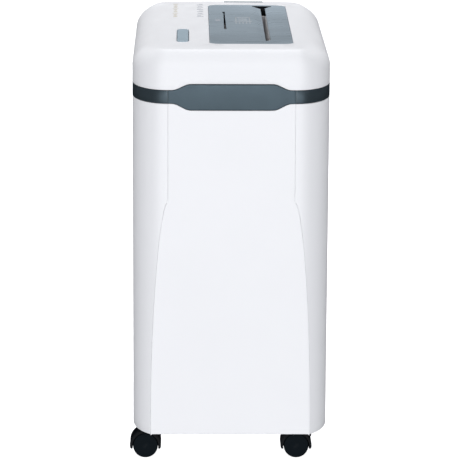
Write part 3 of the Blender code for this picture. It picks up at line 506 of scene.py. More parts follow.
def recess(z):
    down = max(0.0, (RECESS_TOP - z) / (RECESS_TOP - BODY_LOW))
    return RECESS * math.sin(math.pi / 2 * min(1.0, down)) ** RECESS_EASE


def door_half(z):
    return FLAT_HALF + CORNER_WIDTH * math.sqrt(max(0.0, 1 - (1 - recess(z) / CORNER_DEPTH) ** 2))


def right_outline(start_half=FLAT_HALF, inset=0.0, corner_steps=28, rear_steps=16, side_steps=6):
    """Plan points from the drawer's edge round the front corner, along the side and round the rear corner."""
    first = math.asin((start_half - FLAT_HALF) / (CORNER_WIDTH - inset))
    points = []
    for angle in sweep(first, math.pi / 2, corner_steps):
        x = FLAT_HALF + (CORNER_WIDTH - inset) * math.sin(angle)
        y = FRONT + CORNER_DEPTH - (CORNER_DEPTH - inset) * math.cos(angle)
        points.append((x, y))
    rear_start = BACK - REAR_RADIUS
    points += [(HALF - inset, y) for y in sweep(FRONT + CORNER_DEPTH, rear_start, side_steps)[1:-1]]
    for angle in sweep(0.0, math.pi / 2, rear_steps):
        x = HALF - REAR_RADIUS + (REAR_RADIUS - inset) * math.cos(angle)
        points.append((x, rear_start + (REAR_RADIUS - inset) * math.sin(angle)))
    return points


def top_height(x, y):
    back = (y - FRONT) / (BACK - FRONT)
    return TOP_FRONT + back * (TOP_RISE + CROWN * (1 - (x / HALF) ** 2))


def grip_share(x):
    """0 where the trim band is narrow, 1 across the wide grip, with soft corners between."""
    soften = 0.0035
    total = 0.0
    for k in range(-4, 5):
        at = abs(x) + soften * k / 4
        total += min(1.0, max(0.0, (GRIP_SLOPE_END - at) / (GRIP_SLOPE_END - GRIP_HALF)))
    return total / 9


def grip_low(x):
    return TRIM_LOW + (GRIP_LOW - TRIM_LOW) * grip_share(x)


def grip_high(x):
    return TRIM_HIGH + (GRIP_HIGH - TRIM_HIGH) * grip_share(x)


def follow_cutter(name, outline, surface, depth=0.02, flare=0.0005, margin=0.003):
    """Cutter with a rounded flare where it meets a gently curved top surface."""
    centre_x = sum(x for x, _ in outline) / len(outline)
    centre_y = sum(y for _, y in outline) / len(outline)
    count = len(outline)
    normals = []
    for j, (x, y) in enumerate(outline):
        before, after = outline[j - 1], outline[(j + 1) % count]
        normal = Vector((after[1] - before[1], before[0] - after[0]))
        if not normal.length:
            normal = Vector((x - centre_x, y - centre_y))
        normals.append(normal.normalized())
    rows = []
    levels = [(-depth, 0.0), (-flare, 0.0), (-flare * 0.45, flare * 0.16)]
    levels += [(0.0, flare), (margin, flare + margin)]
    for lift, out in levels:
        rows.append([
            (x + n.x * out, y + n.y * out, surface(x, y) + lift) for (x, y), n in zip(outline, normals)
        ])
    return solid(name, rows)


# ---------------------------------------------------------------- head


def head_outline():
    """Closed plan of the head as (x, y, normal x, normal y), anticlockwise from the front centre."""
    half = [(x, FRONT, 0.0, -1.0) for x in sweep(0.0, 0.040, 4)]
    half += [(x, FRONT, 0.0, -1.0) for x in sweep(0.043, 0.071, 14)]
    for angle in sweep(0.0, math.pi / 2, 30):
        normal = Vector((math.sin(angle) / CORNER_WIDTH, -math.cos(angle) / CORNER_DEPTH)).normalized()
        x = FLAT_HALF + CORNER_WIDTH * math.sin(angle)
        y = FRONT + CORNER_DEPTH * (1 - math.cos(angle))
        half.append((x, y, normal.x, normal.y))
    half += [(HALF, y, 1.0, 0.0) for y in sweep(FRONT + CORNER_DEPTH, BACK - REAR_RADIUS, 12)[1:-1]]
    for angle in sweep(0.0, math.pi / 2, 18):
        x = HALF - REAR_RADIUS + REAR_RADIUS * math.cos(angle)
        y = BACK - REAR_RADIUS + REAR_RADIUS * math.sin(angle)
        half.append((x, y, math.cos(angle), math.sin(angle)))
    half += [(x, BACK, 0.0, 1.0) for x in sweep(HALF - REAR_RADIUS, 0.0, 6)[1:]]
    other = [(-x, y, -nx, ny) for x, y, nx, ny in reversed(half[1:-1])]
    return half + other


def head_low(x, y):
    if y > FRONT + 0.001:
        return TRIM_HIGH + GAP
    return grip_high(x) + GAP


def key_outline(grow=0.0):
    """Long rectangle with elliptical corners."""
    low, high = KEY_BOX
    reach_x, reach_y = KEY_CORNER_X + grow, KEY_CORNER_Y + grow
    points = []
    for k, (sx, sy) in enumerate(((1, -1), (1, 1), (-1, 1), (-1, -1))):
        centre_x = (high.x + grow - reach_x) if sx > 0 else (low.x - grow + reach_x)
        centre_y = (high.y + grow - reach_y) if sy > 0 else (low.y - grow + reach_y)
        for u, v in arc(0.0, 0.0, 1.0, -90 + 90 * k, 90 * k, 10):
            points.append((centre_x + reach_x * u, centre_y + reach_y * v))
    return points


def make_head():
    outline = head_outline()
    rows = []
    edge = 0.0006
    for lift, inset in ((0.0, edge), (edge * ROUND, edge * ROUND), (edge, 0.0), (0.006, 0.0)):
        rows.append([(x - nx * inset, y - ny * inset, head_low(x, y) + lift) for x, y, nx, ny in outline])
    for angle in sweep(0.0, math.pi / 2, 16):
        row = []
        for x, y, nx, ny in outline:
            end_inset, end_rise = (FRONT_INSET, FRONT_RISE) if ny < 0 else (REAR_FILLET, REAR_FILLET)
            inset = (SIDE_INSET * nx * nx + end_inset * ny * ny) * (1 - math.cos(angle))
            drop = (SIDE_RISE * nx * nx + end_rise * ny * ny) * (1 - math.sin(angle))
            px, py = x - nx * inset, y - ny * inset
            row.append((px, py, top_height(px, py) - drop))
        rows.append(row)
    last = rows[-1]
    for share in (0.93, 0.82, 0.68, 0.52, 0.36, 0.20, 0.08):
        inner = [(x * share, TOP_CENTRE + (y - TOP_CENTRE) * share) for x, y, _ in last]
        rows.append([(x, y, top_height(x, y)) for x, y in inner])
    head = grid("head_shell", rows, closed_columns=True)
    # A fan of triangles closes the top round its centre
    work = bmesh.new()
    work.from_mesh(head.data)
    work.verts.ensure_lookup_table()
    ring = work.verts[-len(outline):]
    centre = work.verts.new((0.0, TOP_CENTRE, top_height(0.0, TOP_CENTRE)))
    for j, vert in enumerate(ring):
        work.faces.new((vert, ring[(j + 1) % len(ring)], centre))
    work.to_mesh(head.data)
    work.free()
    bake(solidify(head))
    low, high = PANEL_BOX
    panel = rounded_rectangle(low.x - GAP, low.y - GAP, high.x + GAP, high.y + GAP, PANEL_RADIUS + GAP, 10)
    vent_low, vent_high = VENT_BOX
    cut(
        head,
        follow_cutter("panel_hole", panel, top_height),
        follow_cutter("key_hole", key_outline(KEY_ROOM), top_height),
        box(
            "vent_hole", (vent_low.x - GAP, VENT_FRONT - GAP, vent_low.z - GAP),
            (vent_high.x + GAP, BACK + 0.017, CUT_TOP),
        ),
    )
    finish_piece(head, WHITE, "housing", ["head_cover"])


def make_vent():
    """Insert over the rear top edge: a rounded cover with narrow slits, and a black sheet of painted shade
    behind it.
    """
    low, high = VENT_BOX
    centre_y = BACK - REAR_FILLET
    centre_z = top_height((low.x + high.x) / 2, BACK) - REAR_FILLET
    edge = 0.0004

    def skin(name, columns, front, lowest):
        rows = []
        for y, lift in ((front, -edge), (front + edge, 0.0), (front + 0.0030, 0.0), (VENT_BEND, 0.0)):
            rows.append([(x, y, top_height(x, y) + lift - down) for x, down in columns])
        last = math.asin((lowest - centre_z) / REAR_FILLET)
        for angle in sweep(math.pi / 2, max(last, -VENT_TUCK), 18):
            rows.append([
                (
                    x, centre_y + (REAR_FILLET - down) * math.cos(angle),
                    centre_z + (REAR_FILLET - down) * math.sin(angle),
                )
                for x, down in columns
            ])
        return grid(name, rows)

    columns = [(low.x, edge), (low.x + edge, 0.0)]
    columns += [(x, 0.0) for x in sweep(low.x + 0.003, high.x - 0.003, 8)]
    columns += [(high.x - edge, 0.0), (high.x, edge)]
    vent = bake(solidify(skin("vent_insert", columns, VENT_FRONT, low.z)))
    slits = []
    pitch = (high.x - low.x) / (SLIT_COUNT + 1)
    for k in range(SLIT_COUNT):
        x = low.x + pitch * (k + 1)
        slits.append(box(
            f"slit_{k}", (x - SLIT_HALF, SLIT_FRONT, CUT_BOTTOM), (x + SLIT_HALF, SLIT_REAR, CUT_TOP)
        ))
    cut(vent, *slits)
    finish_piece(bake(bevel(vent, 0.0002, 1)), VENT, "housing", ["vent_grille"])

    # Painted shade: a black sheet inside the head behind the slits and round the insert's edges.
    inside = WALL + 0.0004
    columns = [(x, inside) for x in sweep(low.x - VENT_LIP, high.x + VENT_LIP, 6)]
    painted_shade_sheet = bake(solidify(skin("vent_painted_shade_sheet", columns, VENT_FRONT - VENT_LIP, low.z - VENT_LIP), 0.0006))
    finish_piece(painted_shade_sheet, BLACK, "housing")


# ---------------------------------------------------------------- entry panel and symbols


def valley(x, y):
    away = (x - VALLEY_X) / VALLEY_HALF
    if abs(away) >= 1:
        return 0.0
    low, high = PANEL_BOX
    front = min(1.0, max(0.0, (y - low.y - VALLEY_START) / VALLEY_RISE))
    rear = min(1.0, max(0.0, (high.y - VALLEY_STOP - y) / VALLEY_END))
    ease = front * (2 - front)
    return VALLEY_DEPTH * math.cos(math.pi / 2 * away) ** 2 * ease * rear


def panel_surface(x, y):
    return top_height(x, y) - valley(x, y)


def edge_drop(x, y, radius=0.0009):
    """Rounds the panel over its rim."""
    low, high = PANEL_BOX
    centre = (low + high) / 2
    qx = abs(x - centre.x) - ((high.x - low.x) / 2 - PANEL_RADIUS)
    qy = abs(y - centre.y) - ((high.y - low.y) / 2 - PANEL_RADIUS)
    outside = math.hypot(max(qx, 0.0), max(qy, 0.0))
    inside = PANEL_RADIUS - (outside + min(max(qx, qy), 0.0))
    if inside >= radius:
        return 0.0
    return radius - math.sqrt(max(0.0, radius**2 - (radius - max(0.0, inside)) ** 2))


def make_panel():
    low, high = PANEL_BOX
    rim = [-0.002, -0.0002, 0.0002, 0.0005, 0.0009, 0.0016, 0.003]
    xs = [low.x + r for r in rim] + sweep(low.x + 0.005, VALLEY_X - VALLEY_HALF - 0.001, 14)
    xs += sweep(VALLEY_X - VALLEY_HALF, VALLEY_X + VALLEY_HALF, 26)
    xs += [high.x - r for r in (0.009, 0.006)] + [high.x - r for r in reversed(rim)]
    ys = [low.y + r for r in rim] + sweep(low.y + 0.004, high.y - 0.016, 72)
    ys += sweep(high.y - 0.0138, high.y - 0.0092, 10)
    ys += [high.y - 0.007, high.y - 0.005] + [high.y - r for r in reversed(rim)]
    xs, ys = sorted(set(xs)), sorted(set(ys))
    rows = [[(x, y, panel_surface(x, y) - edge_drop(x, y)) for x in xs] for y in ys]
    panel = bake(solidify(grid("panel_shell", rows)))
    shape = rounded_rectangle(low.x, low.y, high.x, high.y, PANEL_RADIUS, 14)
    cut(panel, upright("panel_prism", shape, (CUT_BOTTOM, CUT_TOP)), operation="INTERSECT")
    paper = rounded_rectangle(
        PAPER_X - PAPER_HALF_GAP, -PAPER_HALF_LENGTH, PAPER_X + PAPER_HALF_GAP, PAPER_REAR, PAPER_CORNER, 4
    )
    disc = []
    for x, y in rounded_rectangle(-DISC_HALF_GAP, DISC_FRONT, DISC_HALF_GAP, DISC_BACK, DISC_CORNER, 4):
        taper = 1.0 - DISC_TAPER * (y - DISC_FRONT) / (DISC_BACK - DISC_FRONT)
        disc.append((DISC_X + x * taper, y))
    cut(
        panel,
        follow_cutter("paper_cut", paper, panel_surface, flare=0.0007),
        follow_cutter("disc_cut", disc, panel_surface, flare=0.00025),
    )
    finish_piece(panel, PANEL, "housing", ["entry_panel"], 25)


def make_slot_painted_shade():
    """Painted shade: a black sheet over the trough's steep rear end and a black block at the slot's end wall.
    """
    # Black sheet of painted shade laid just above the trough's rear end.
    rear = PANEL_BOX[1].y - VALLEY_STOP
    xs = sweep(MOUTH_X - MOUTH_HALF, MOUTH_X + MOUTH_HALF, 24)
    rows = []
    for y in sweep(rear - MOUTH_DEPTH, rear + 0.0001, 5):
        rows.append([(x, y, panel_surface(x, y) + MOUTH_LIFT) for x in xs])
    trough_painted_shade = bake(solidify(grid("slot_painted_shade", rows), 0.0003))
    # Black block of painted shade at the slot's rear end.
    top = panel_surface(PAPER_X, PAPER_REAR) + 0.00005
    half = PAPER_HALF_GAP + 0.0002
    wall_low = (PAPER_X - half, PAPER_REAR - 0.0011, top - SLOT_END_HEIGHT)
    wall = bake(bevel(box("slot_end_painted_shade", wall_low, (PAPER_X + half, PAPER_REAR + 0.0010, top)), 0.0001, 1))
    finish_piece(join("slot_painted_shade", [trough_painted_shade, wall]), BLACK, "housing")


def decal(name, outline, surface, lift=0.00012, steps_in=0.00018):
    """Thin raised symbol that follows the surface under it, with a softened rim."""
    centre_x = sum(x for x, _ in outline) / len(outline)
    centre_y = sum(y for _, y in outline) / len(outline)
    reach = max(math.hypot(x - centre_x, y - centre_y) for x, y in outline)
    share = max(0.4, 1 - steps_in / reach)
    rows = []
    for scale, up in ((1.0, -0.0002), (1.0, lift * 0.5), (share, lift)):
        rows.append([
            (
                centre_x + (x - centre_x) * scale,
                centre_y + (y - centre_y) * scale,
                surface(centre_x + (x - centre_x) * scale, centre_y + (y - centre_y) * scale) + up,
            )
            for x, y in outline
        ])
    return solid(name, rows)


def bar(name, x, y, width, length, surface):
    radius = min(width, length) * 0.3
    outline = rounded_rectangle(x - width / 2, y - length / 2, x + width / 2, y + length / 2, radius, 3)
    return decal(name, outline, surface)


def make_pictogram():
    """Plain outline of a sheet above a row of strips, raised on the panel."""
    pieces = []
    cx, cy = PICTOGRAM_X, PICTOGRAM_Y
    half_w, half_l, line = 0.0085, 0.019, 0.0013
    for sx in (-1, 1):
        pieces.append(bar("side", cx + sx * half_w, cy + 0.004, line, 2 * half_l - 0.008, panel_surface))
    pieces.append(bar("top", cx, cy + half_l, 2 * half_w + line, line * 2.2, panel_surface))
    pieces.append(bar("foot", cx, cy - half_l + 0.008, 2 * half_w + 0.006, line * 2.2, panel_surface))
    for k in range(3):
        pieces.append(bar("line", cx, cy + 0.009 - 0.0065 * k, 2 * half_w - 0.006, line * 1.6, panel_surface))
    for k in range(5):
        x = cx - half_w + half_w * k / 2
        pieces.append(bar("strip", x, cy - half_l - 0.003, line * 1.1, 0.013, panel_surface))
    finish_piece(join("sheet_pictogram", pieces), EMBOSS, "housing")


def disc_outline(x, y, radius, steps=20):
    return arc(x, y, radius, 0, 360 - 360 / steps, steps - 1)


def make_symbols():
    """Small generic marks: two columns on the head and one by the disc slot, and a black patch of painted
    shade at the disc slot's rear end.
    """
    pale, grey = [], []
    x = PALE_MARKS_X
    for k, y in enumerate(sweep(MARKS_FRONT, PALE_MARKS_REAR, 5)):
        pale.append(decal("dot", disc_outline(x, y, 0.0026), top_height))
        if k % 2:
            pale.append(bar("dash", x, y + 0.008, 0.0075, 0.0020, top_height))
        else:
            wedge = [(x - 0.003, y + 0.006), (x + 0.003, y + 0.006), (x, y + 0.012)]
            pale.append(decal("wedge", wedge, top_height))
    x = GREY_MARKS_X
    for k, y in enumerate(sweep(MARKS_FRONT, GREY_MARKS_REAR, 5)):
        grey.append(bar("dash", x, y, 0.0085, 0.0030, top_height))
        grey.append(bar("short", x + 0.0012 * (k % 3 - 1), y + 0.0065, 0.0050, 0.0024, top_height))
    finish_piece(join("marks_left", pale), SYMBOL_PALE, "housing")
    finish_piece(join("marks_right", grey), SYMBOL_GREY, "housing")
    ring = [
        decal("disc_mark", disc_outline(DISC_MARK_X, DISC_MARK_Y, 0.0036), panel_surface),
        bar("disc_bar", DISC_MARK_X, DISC_MARK_Y + 0.008, 0.0060, 0.0016, panel_surface),
    ]
    finish_piece(join("marks_disc", ring), SYMBOL_GREY, "housing")
    # Black patch of painted shade where the disc slot's rear end opens.
    dot = bar("slot_rear_painted_shade", DISC_X - 0.0004, DISC_BACK + 0.0045, 0.0030, 0.0110, panel_surface)
    finish_piece(dot, BLACK, "housing")


def make_key():
    """Long key with a rounded rim and a shallow dish at each end."""
    low, high = KEY_BOX
    rows = []
    outline = key_outline()
    centre_x, centre_y = (low.x + high.x) / 2, (low.y + high.y) / 2
    half_w, half_l = (high.x - low.x) / 2, (high.y - low.y) / 2

    def level(x, y):
        along = abs(y - centre_y) / half_l
        across = (x - centre_x) / half_w
        dish = DISH_DEPTH * math.exp(-((along - DISH_PLACE) / DISH_WIDTH) ** 2) * (1 - across**2)
        return high.z - dish

    rim = 0.0011
    rows.append([(x, y, low.z) for x, y in outline])
    for angle in sweep(0.0, math.pi / 2, 5):
        inset = rim * (1 - math.cos(angle))
        drop = rim * (1 - math.sin(angle))
        row = []
        for x, y in outline:
            sx = 1 - inset / half_w
            sy = 1 - inset / half_l
            row.append((centre_x + (x - centre_x) * sx, centre_y + (y - centre_y) * sy, high.z - drop))
        rows.append(row)
    for share in (0.78, 0.62, 0.45, 0.28, 0.12):
        row = []
        for x, y in outline:
            px = centre_x + (x - centre_x) * share
            py = centre_y + (y - centre_y) * (1 - (1 - share) * half_w / half_l)
            row.append((px, py, level(px, py)))
        rows.append(row)
    finish_piece(solid("key_body", rows), KEY, "control_key", ["control_key"], 40)


# ---------------------------------------------------------------- drawer


# Stations of a moulded rim as (inset, depth). The first runs back to the piece's rear face.
RIM = ((0.0, 1.0), (0.0, 0.004), (0.0, 0.00035), (0.0001, 0.0001), (0.00035, 0.0))


def rimmed(inner):
    """Rounded rim at both ends of a run of inner stations: (share, inset, depth) for each station."""
    start = [(0.0, inset, depth) for inset, depth in RIM]
    end = [(1.0, -inset, depth) for inset, depth in reversed(RIM)]
    return start + [(share, 0.0, 0.0) for share in inner] + end


def make_bin_front():
    columns = rimmed([s / 44 for s in range(1, 44)])
    rows_along = rimmed(sweep(0.004, 0.996, 60))
    rows = []
    for share_z, inset_z, depth_z in rows_along:
        row = []
        for share_x, inset_x, depth_x in columns:
            z = BODY_LOW + (TRIM_LOW - GAP - BODY_LOW) * share_z
            for _ in range(2):
                edge = door_half(z) - SEAM
                x = -edge + 2 * edge * share_x + inset_x
                top = grip_low(x) - GAP
                z = BODY_LOW + (top - BODY_LOW) * share_z + inset_z
            y = min(FRONT + recess(z) + max(depth_x, depth_z), FRONT + DOOR_DEPTH)
            row.append((x, y, z))
        rows.append(row)
    front = bake(solidify(grid("drawer_front", rows)))
    finish_piece(front, WHITE, "drawer", ["bin_front"])


def make_bin_handle():
    end = FLAT_HALF - SEAM / 2
    back = HANDLE_BOX[1].y - FRONT
    columns = rimmed([s / 60 for s in range(1, 60)])
    rows_along = rimmed(sweep(0.06, 0.94, 12))
    rows = []
    for share_z, inset_z, depth_z in rows_along:
        row = []
        for share_x, inset_x, depth_x in columns:
            x = -end + 2 * end * share_x + inset_x
            low, high = grip_low(x), grip_high(x)
            z = low + (high - low) * share_z + inset_z
            level = 2 * (z - low) / (high - low) - 1
            bow = BOW * max(0.0, 1 - (x / end) ** 2) * (1 - 0.4 * level**2)
            depth = max(depth_x, depth_z)
            row.append((x, min(FRONT - bow + depth, FRONT + back), z))
        rows.append(row)
    handle = bake(solidify(grid("drawer_grip", rows), 0.0022))
    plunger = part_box("interlock_plunger")
    centre_x, centre_z = (plunger[0].x + plunger[1].x) / 2, (plunger[0].z + plunger[1].z) / 2
    rib = bake(bevel(box(
        "rib", (centre_x - 0.004, FRONT + 0.0010, centre_z - 0.004),
        (centre_x + 0.004, plunger[0].y - GAP, centre_z + 0.004),
    ), 0.0005))
    finish_piece(join("drawer_grip_bar", [handle, rib]), SLATE, "drawer", ["bin_handle"])


def make_tub():
    """Tub with a rolled lip, drafted corners and stiffening grooves low on its walls."""
    low, high = TUB_BOX
    wall = 0.002

    def ring(inset, z, radius):
        shape = rounded_rectangle(low.x + inset, low.y + inset, high.x - inset, high.y - inset, radius, 8)
        return [(x, y, z) for x, y in shape]

    lip = 0.0022
    rows = [ring(0.010, low.z, 0.010), ring(0.0035, low.z + 0.001, 0.013)]
    rows.append(ring(0.0016, low.z + 0.005, 0.014))
    rows += [ring(0.0012, z, 0.0138) for z in sweep(low.z + 0.012, high.z - 0.130, 5)]
    for z in sweep(high.z - 0.120, high.z - 0.080, 4):
        rows += [ring(0.0012, z - 0.0020, 0.0138), ring(0.0020, z, 0.0135), ring(0.0012, z + 0.0020, 0.0138)]
    rows += [ring(0.0012, high.z - lip * 3, 0.0138), ring(0.0, high.z - lip * 2.4, 0.014)]
    rows += [ring(0.0, high.z - 0.0008, 0.014), ring(0.0008, high.z, 0.0135)]
    rows.append(ring(wall + 0.0014, high.z, 0.012))
    rows += [ring(wall + 0.0024, high.z - 0.001, 0.0115), ring(wall + 0.0024, low.z + 0.010, 0.0115)]
    rows += [ring(wall + 0.0040, low.z + 0.004, 0.011), ring(0.012, low.z + wall + 0.0003, 0.009)]
    finish_piece(solid("tub", rows), TUB, "drawer", ["waste_bin"], 40)


# ---------------------------------------------------------------- housing sides, trim and rear

LOUVRE_COUNT = 9
LOUVRE_X = 0.036
LOUVRE_HALF = 0.026
LOUVRE_LOW = 0.300
LOUVRE_PITCH = 0.008
LOUVRE_DEPTH = 0.0012


def make_side(name, node, flip):
    top = SIDE_TOP
    ledge = 0.009
    edge = 0.0006
    heights = [(BODY_LOW, edge, WALL), (BODY_LOW + edge * ROUND, edge * ROUND, WALL)]
    heights.append((BODY_LOW + edge, 0.0, WALL))
    heights += [(z, 0.0, WALL) for z in sweep(BODY_LOW + 0.010, RECESS_TOP - 0.020, 26)]
    heights += [(z, 0.0, WALL) for z in sweep(RECESS_TOP - 0.017, RECESS_TOP, 8)]
    heights += [(z, 0.0, WALL) for z in sweep(RECESS_TOP + 0.008, top - ledge - 0.001, 8)]
    heights += [(top - WALL, 0.0, ledge), (top - edge, 0.0, ledge), (top - edge * ROUND, edge * ROUND, ledge)]
    heights += [(top, edge, ledge)]
    rows = []
    for z, shrink, inset in heights:
        start = door_half(z)
        outer = right_outline(start, shrink)
        first, second = Vector(outer[0]), Vector(outer[1])
        along = (second - first).normalized()
        rim = [first + Vector((0, 0.0010)), first + Vector((0.00002, 0.0002)) + along * 0.00003]
        rim.append(first + along * 0.0002 + Vector((0, 0.00004)))
        points = [tuple(p) for p in rim] + outer[1:]
        points += right_outline(start, inset)[::-1]
        rows.append([(x, y, z) for x, y in (mirrored(points) if flip else points)])
    finish_piece(solid(name, rows), WHITE, "housing", [node])


def make_trim():
    """Band with softened edges, swept round the sides and the rear."""
    edge = 0.0005
    plan = []
    for inset in (0.0, edge * ROUND, edge, WALL):
        right = right_outline(inset=inset, corner_steps=30, rear_steps=18)
        right[0] = (FLAT_HALF + SEAM, right[0][1])
        plan.append(right + mirrored(right))
    outer, slight, rim, inner = plan
    low, high = TRIM_LOW, TRIM_HIGH
    section = [
        (inner, low), (rim, low), (slight, low + edge * ROUND), (outer, low + edge), (outer, high - edge),
        (slight, high - edge * ROUND), (rim, high), (inner, high),
    ]
    rows = []
    for j in range(len(outer)):
        rows.append([(path[j][0], path[j][1], z) for path, z in section])
    finish_piece(solid("trim_ring", rows), SLATE, "housing", ["trim_band"])


def make_rear():
    """Rear panel with softened edges, two fields of louvre grooves and the gland's hole."""
    low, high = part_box("rear_panel")
    panel = box("rear_skin", tuple(low), tuple(high))
    bake(bevel(panel, 0.0006))
    gland_low, gland_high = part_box("cord_gland")
    centre = (gland_low + gland_high) / 2
    grooves = []
    for side in (-1, 1):
        x = side * LOUVRE_X
        for k in range(LOUVRE_COUNT):
            z = LOUVRE_LOW + LOUVRE_PITCH * k
            grooves.append(bake(bevel(box(
                f"groove_{side}_{k}", (x - LOUVRE_HALF, high.y - LOUVRE_DEPTH, z - 0.0014),
                (x + LOUVRE_HALF, high.y + 0.004, z + 0.0014),
            ), 0.0009, 3)))
    ring = disc_outline(centre.x, centre.z, 0.0073, 40)
    cut(panel, *grooves, crosswise("gland_hole", ring, (high.y + 0.01, low.y - 0.01)))
    finish_piece(panel, WHITE, "housing", ["rear_panel"])


# ---------------------------------------------------------------- casters

WHEEL_RADIUS = 0.015
HOOD_WALL = 0.0031
HOOD_TIP = 12
BOSS_RADIUS = 0.0080
STEM_RADIUS = 0.0040


def turned(name, profile, centre, steps=64):
    """Ring-shaped piece with its axis along Y from a closed (radius, y) profile."""
    rows = []
    for k in range(steps):
        angle = 2 * math.pi * k / steps
        cos, sin = math.cos(angle), math.sin(angle)
        rows.append([(centre[0] + r * cos, centre[1] + y, centre[2] + r * sin) for r, y in profile])
    obj = grid(name, rows, closed_rows=True, closed_columns=True)
    work = bmesh.new()
    work.from_mesh(obj.data)
    bmesh.ops.recalc_face_normals(work, faces=work.faces)
    work.to_mesh(obj.data)
    work.free()
    return obj


def make_wheel(name, node, body, outward):
    """Twin-wheel half: rounded tread and a plain, slightly domed face that covers the axle's end."""
    low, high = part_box(node)
    centre = (low + high) / 2
    radius = (high.z - low.z) / 2
    half = (high.y - low.y) / 2
    r = radius / WHEEL_RADIUS
    half_profile = [
        (0.0022, 0.84), (0.0001, 0.84), (0.0001, 0.965), (0.0040 * r, 0.965), (0.0080 * r, 0.965),
        (0.0118 * r, 0.955), (0.0121 * r, 0.935), (0.0124 * r, 0.945), (0.0132 * r, 0.94), (0.0140 * r, 0.90),
        (0.0146 * r, 0.82), (0.0149 * r, 0.70), (0.0150 * r, 0.50),
    ]
    profile = [(radius_at, outward * half * at) for radius_at, at in half_profile]
    back_profile = [(0.0150 * r, -0.60), (0.0148 * r, -0.86), (0.0140 * r, -0.98), (0.0023, -0.98)]
    profile += [(radius_at, outward * half * at) for radius_at, at in back_profile]
    finish_piece(turned(name, profile, centre), NYLON, body, [node], 28)


def make_hood(name, node, body, swivel_x):
    """Fender with rounded edges, a web between the wheels, a boss and a stem."""
    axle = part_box(node.replace("hood", "axle"))
    centre = (axle[0] + axle[1]) / 2
    low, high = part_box(node)
    outer = (high.x - low.x) / 2
    inner = outer - HOOD_WALL
    half = (high.y - low.y) / 2
    edge = 0.0007
    tip = HOOD_TIP
    rows = []
    section = [
        (inner, half - 0.0003), (inner + 0.0003, half), (outer - edge, half),
        (outer - edge * ROUND, half - edge * ROUND), (outer, half - edge), (outer, 0.0), (outer, edge - half),
        (outer - edge * ROUND, edge * ROUND - half), (outer - edge, -half), (inner + 0.0003, -half),
        (inner, 0.0003 - half),
    ]
    for angle in sweep(-tip, 180 + tip, 48):
        cos, sin = math.cos(math.radians(angle)), math.sin(math.radians(angle))
        # The fender thins over its last few degrees at both tips
        ease = min(1.0, (min(angle + tip, 180 + tip - angle) + 3) / 9)
        row = []
        for radius, y in section:
            thin = inner + (radius - inner) * (0.55 + 0.45 * ease)
            row.append((centre.x + thin * cos, centre.y + y, centre.z + thin * sin))
        rows.append(row)
    hood = solid(name, rows)
    web_half = 0.0025
    web_outline = arc(centre.x, centre.z, outer - 0.001, -tip, 180 + tip, 36)
    web = crosswise(f"{name}_web", web_outline, (centre.y + web_half, centre.y - web_half))

    def post(part, ring, levels, top, taper):
        rows = [[(x, y, z) for x, y in ring] for z in levels]
        rows.append([
            (swivel_x + (x - swivel_x) * taper, centre.y + (y - centre.y) * taper, top) for x, y in ring
        ])
        return solid(f"{name}_{part}", rows)

    boss_ring = disc_outline(swivel_x, centre.y, BOSS_RADIUS, 36)
    boss = post("boss", boss_ring, (0.0240, BODY_LOW - 0.0008), BODY_LOW - 0.0002, 0.93)
    room_ring = disc_outline(centre.x, centre.z, inner - 0.0001, 64)
    cut(boss, crosswise(f"{name}_room", room_ring, (centre.y + 0.02, centre.y - 0.02)))
    stem_ring = disc_outline(swivel_x, centre.y, STEM_RADIUS, 24)
    stem = post("stem", stem_ring, (0.0330, high.z - 0.001), high.z, 0.8)
    cut(hood, web, boss, stem, operation="UNION")
    finish_piece(hood, BLACK, body, [node])


def make_axle(name, node, body):
    low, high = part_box(node)
    centre = (low + high) / 2
    radius = (high.z - low.z) / 2 * 0.96
    half = (high.y - low.y) / 2 - 0.0014
    rows = []
    for y, r in ((-half, 0.80), (-half + 0.0005, 1.0), (half - 0.0005, 1.0), (half, 0.80)):
        rows.append([(x, centre.y + y, z) for x, z in disc_outline(centre.x, centre.z, radius * r, 32)])
    finish_piece(solid(name, rows), ZINC, body, [node])


def make_socket(name, node):
    """Socket sleeve with a softened mouth."""
    low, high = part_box(node)
    centre = (low + high) / 2
    outer = (high.x - low.x) / 2
    bore = 0.0043
    rows = []
    profile = [
        (0.0005, high.z), (outer - 0.0005, high.z), (outer, high.z - 0.0005), (outer, low.z + 0.0004),
        (outer - 0.0004, low.z), (bore + 0.0006, low.z), (bore, low.z + 0.0006), (bore, high.z - 0.0030),
        (0.0005, high.z - 0.0028),
    ]
    for radius, z in profile:
        rows.append([(x, y, z) for x, y in disc_outline(centre.x, centre.y, radius, 40)])
    finish_piece(solid(name, rows), BLACK, "housing", [node])


def make_casters():
    for place in ("front", "rear"):
        for side in ("left", "right"):
            tag = f"{place}_{side}"
            joint = [j for j in frame["joints"] if j["name"] == f"caster_{tag}_swivel"][0]
            swivel_x = joint["pos_m"][0]
            make_hood(f"fender_{tag}", f"caster_hood_{tag}", f"caster_{tag}", swivel_x)
            make_axle(f"axle_{tag}", f"caster_axle_{tag}", f"caster_{tag}")
            make_socket(f"sleeve_{tag}", f"caster_socket_{tag}")
            make_wheel(f"wheel_{tag}_1", f"caster_wheel_{tag}_1", f"caster_{tag}_wheel_1", -1)
            make_wheel(f"wheel_{tag}_2", f"caster_wheel_{tag}_2", f"caster_{tag}_wheel_2", 1)


# ---------------------------------------------------------------- stage and light

FLAG_X = 1.30
FLOOR_RADIUS = 14.0
FLOOR_DROP = 0.0002
FLOOR_GLOW = 0.86
WORLD_GLOW = 0.46


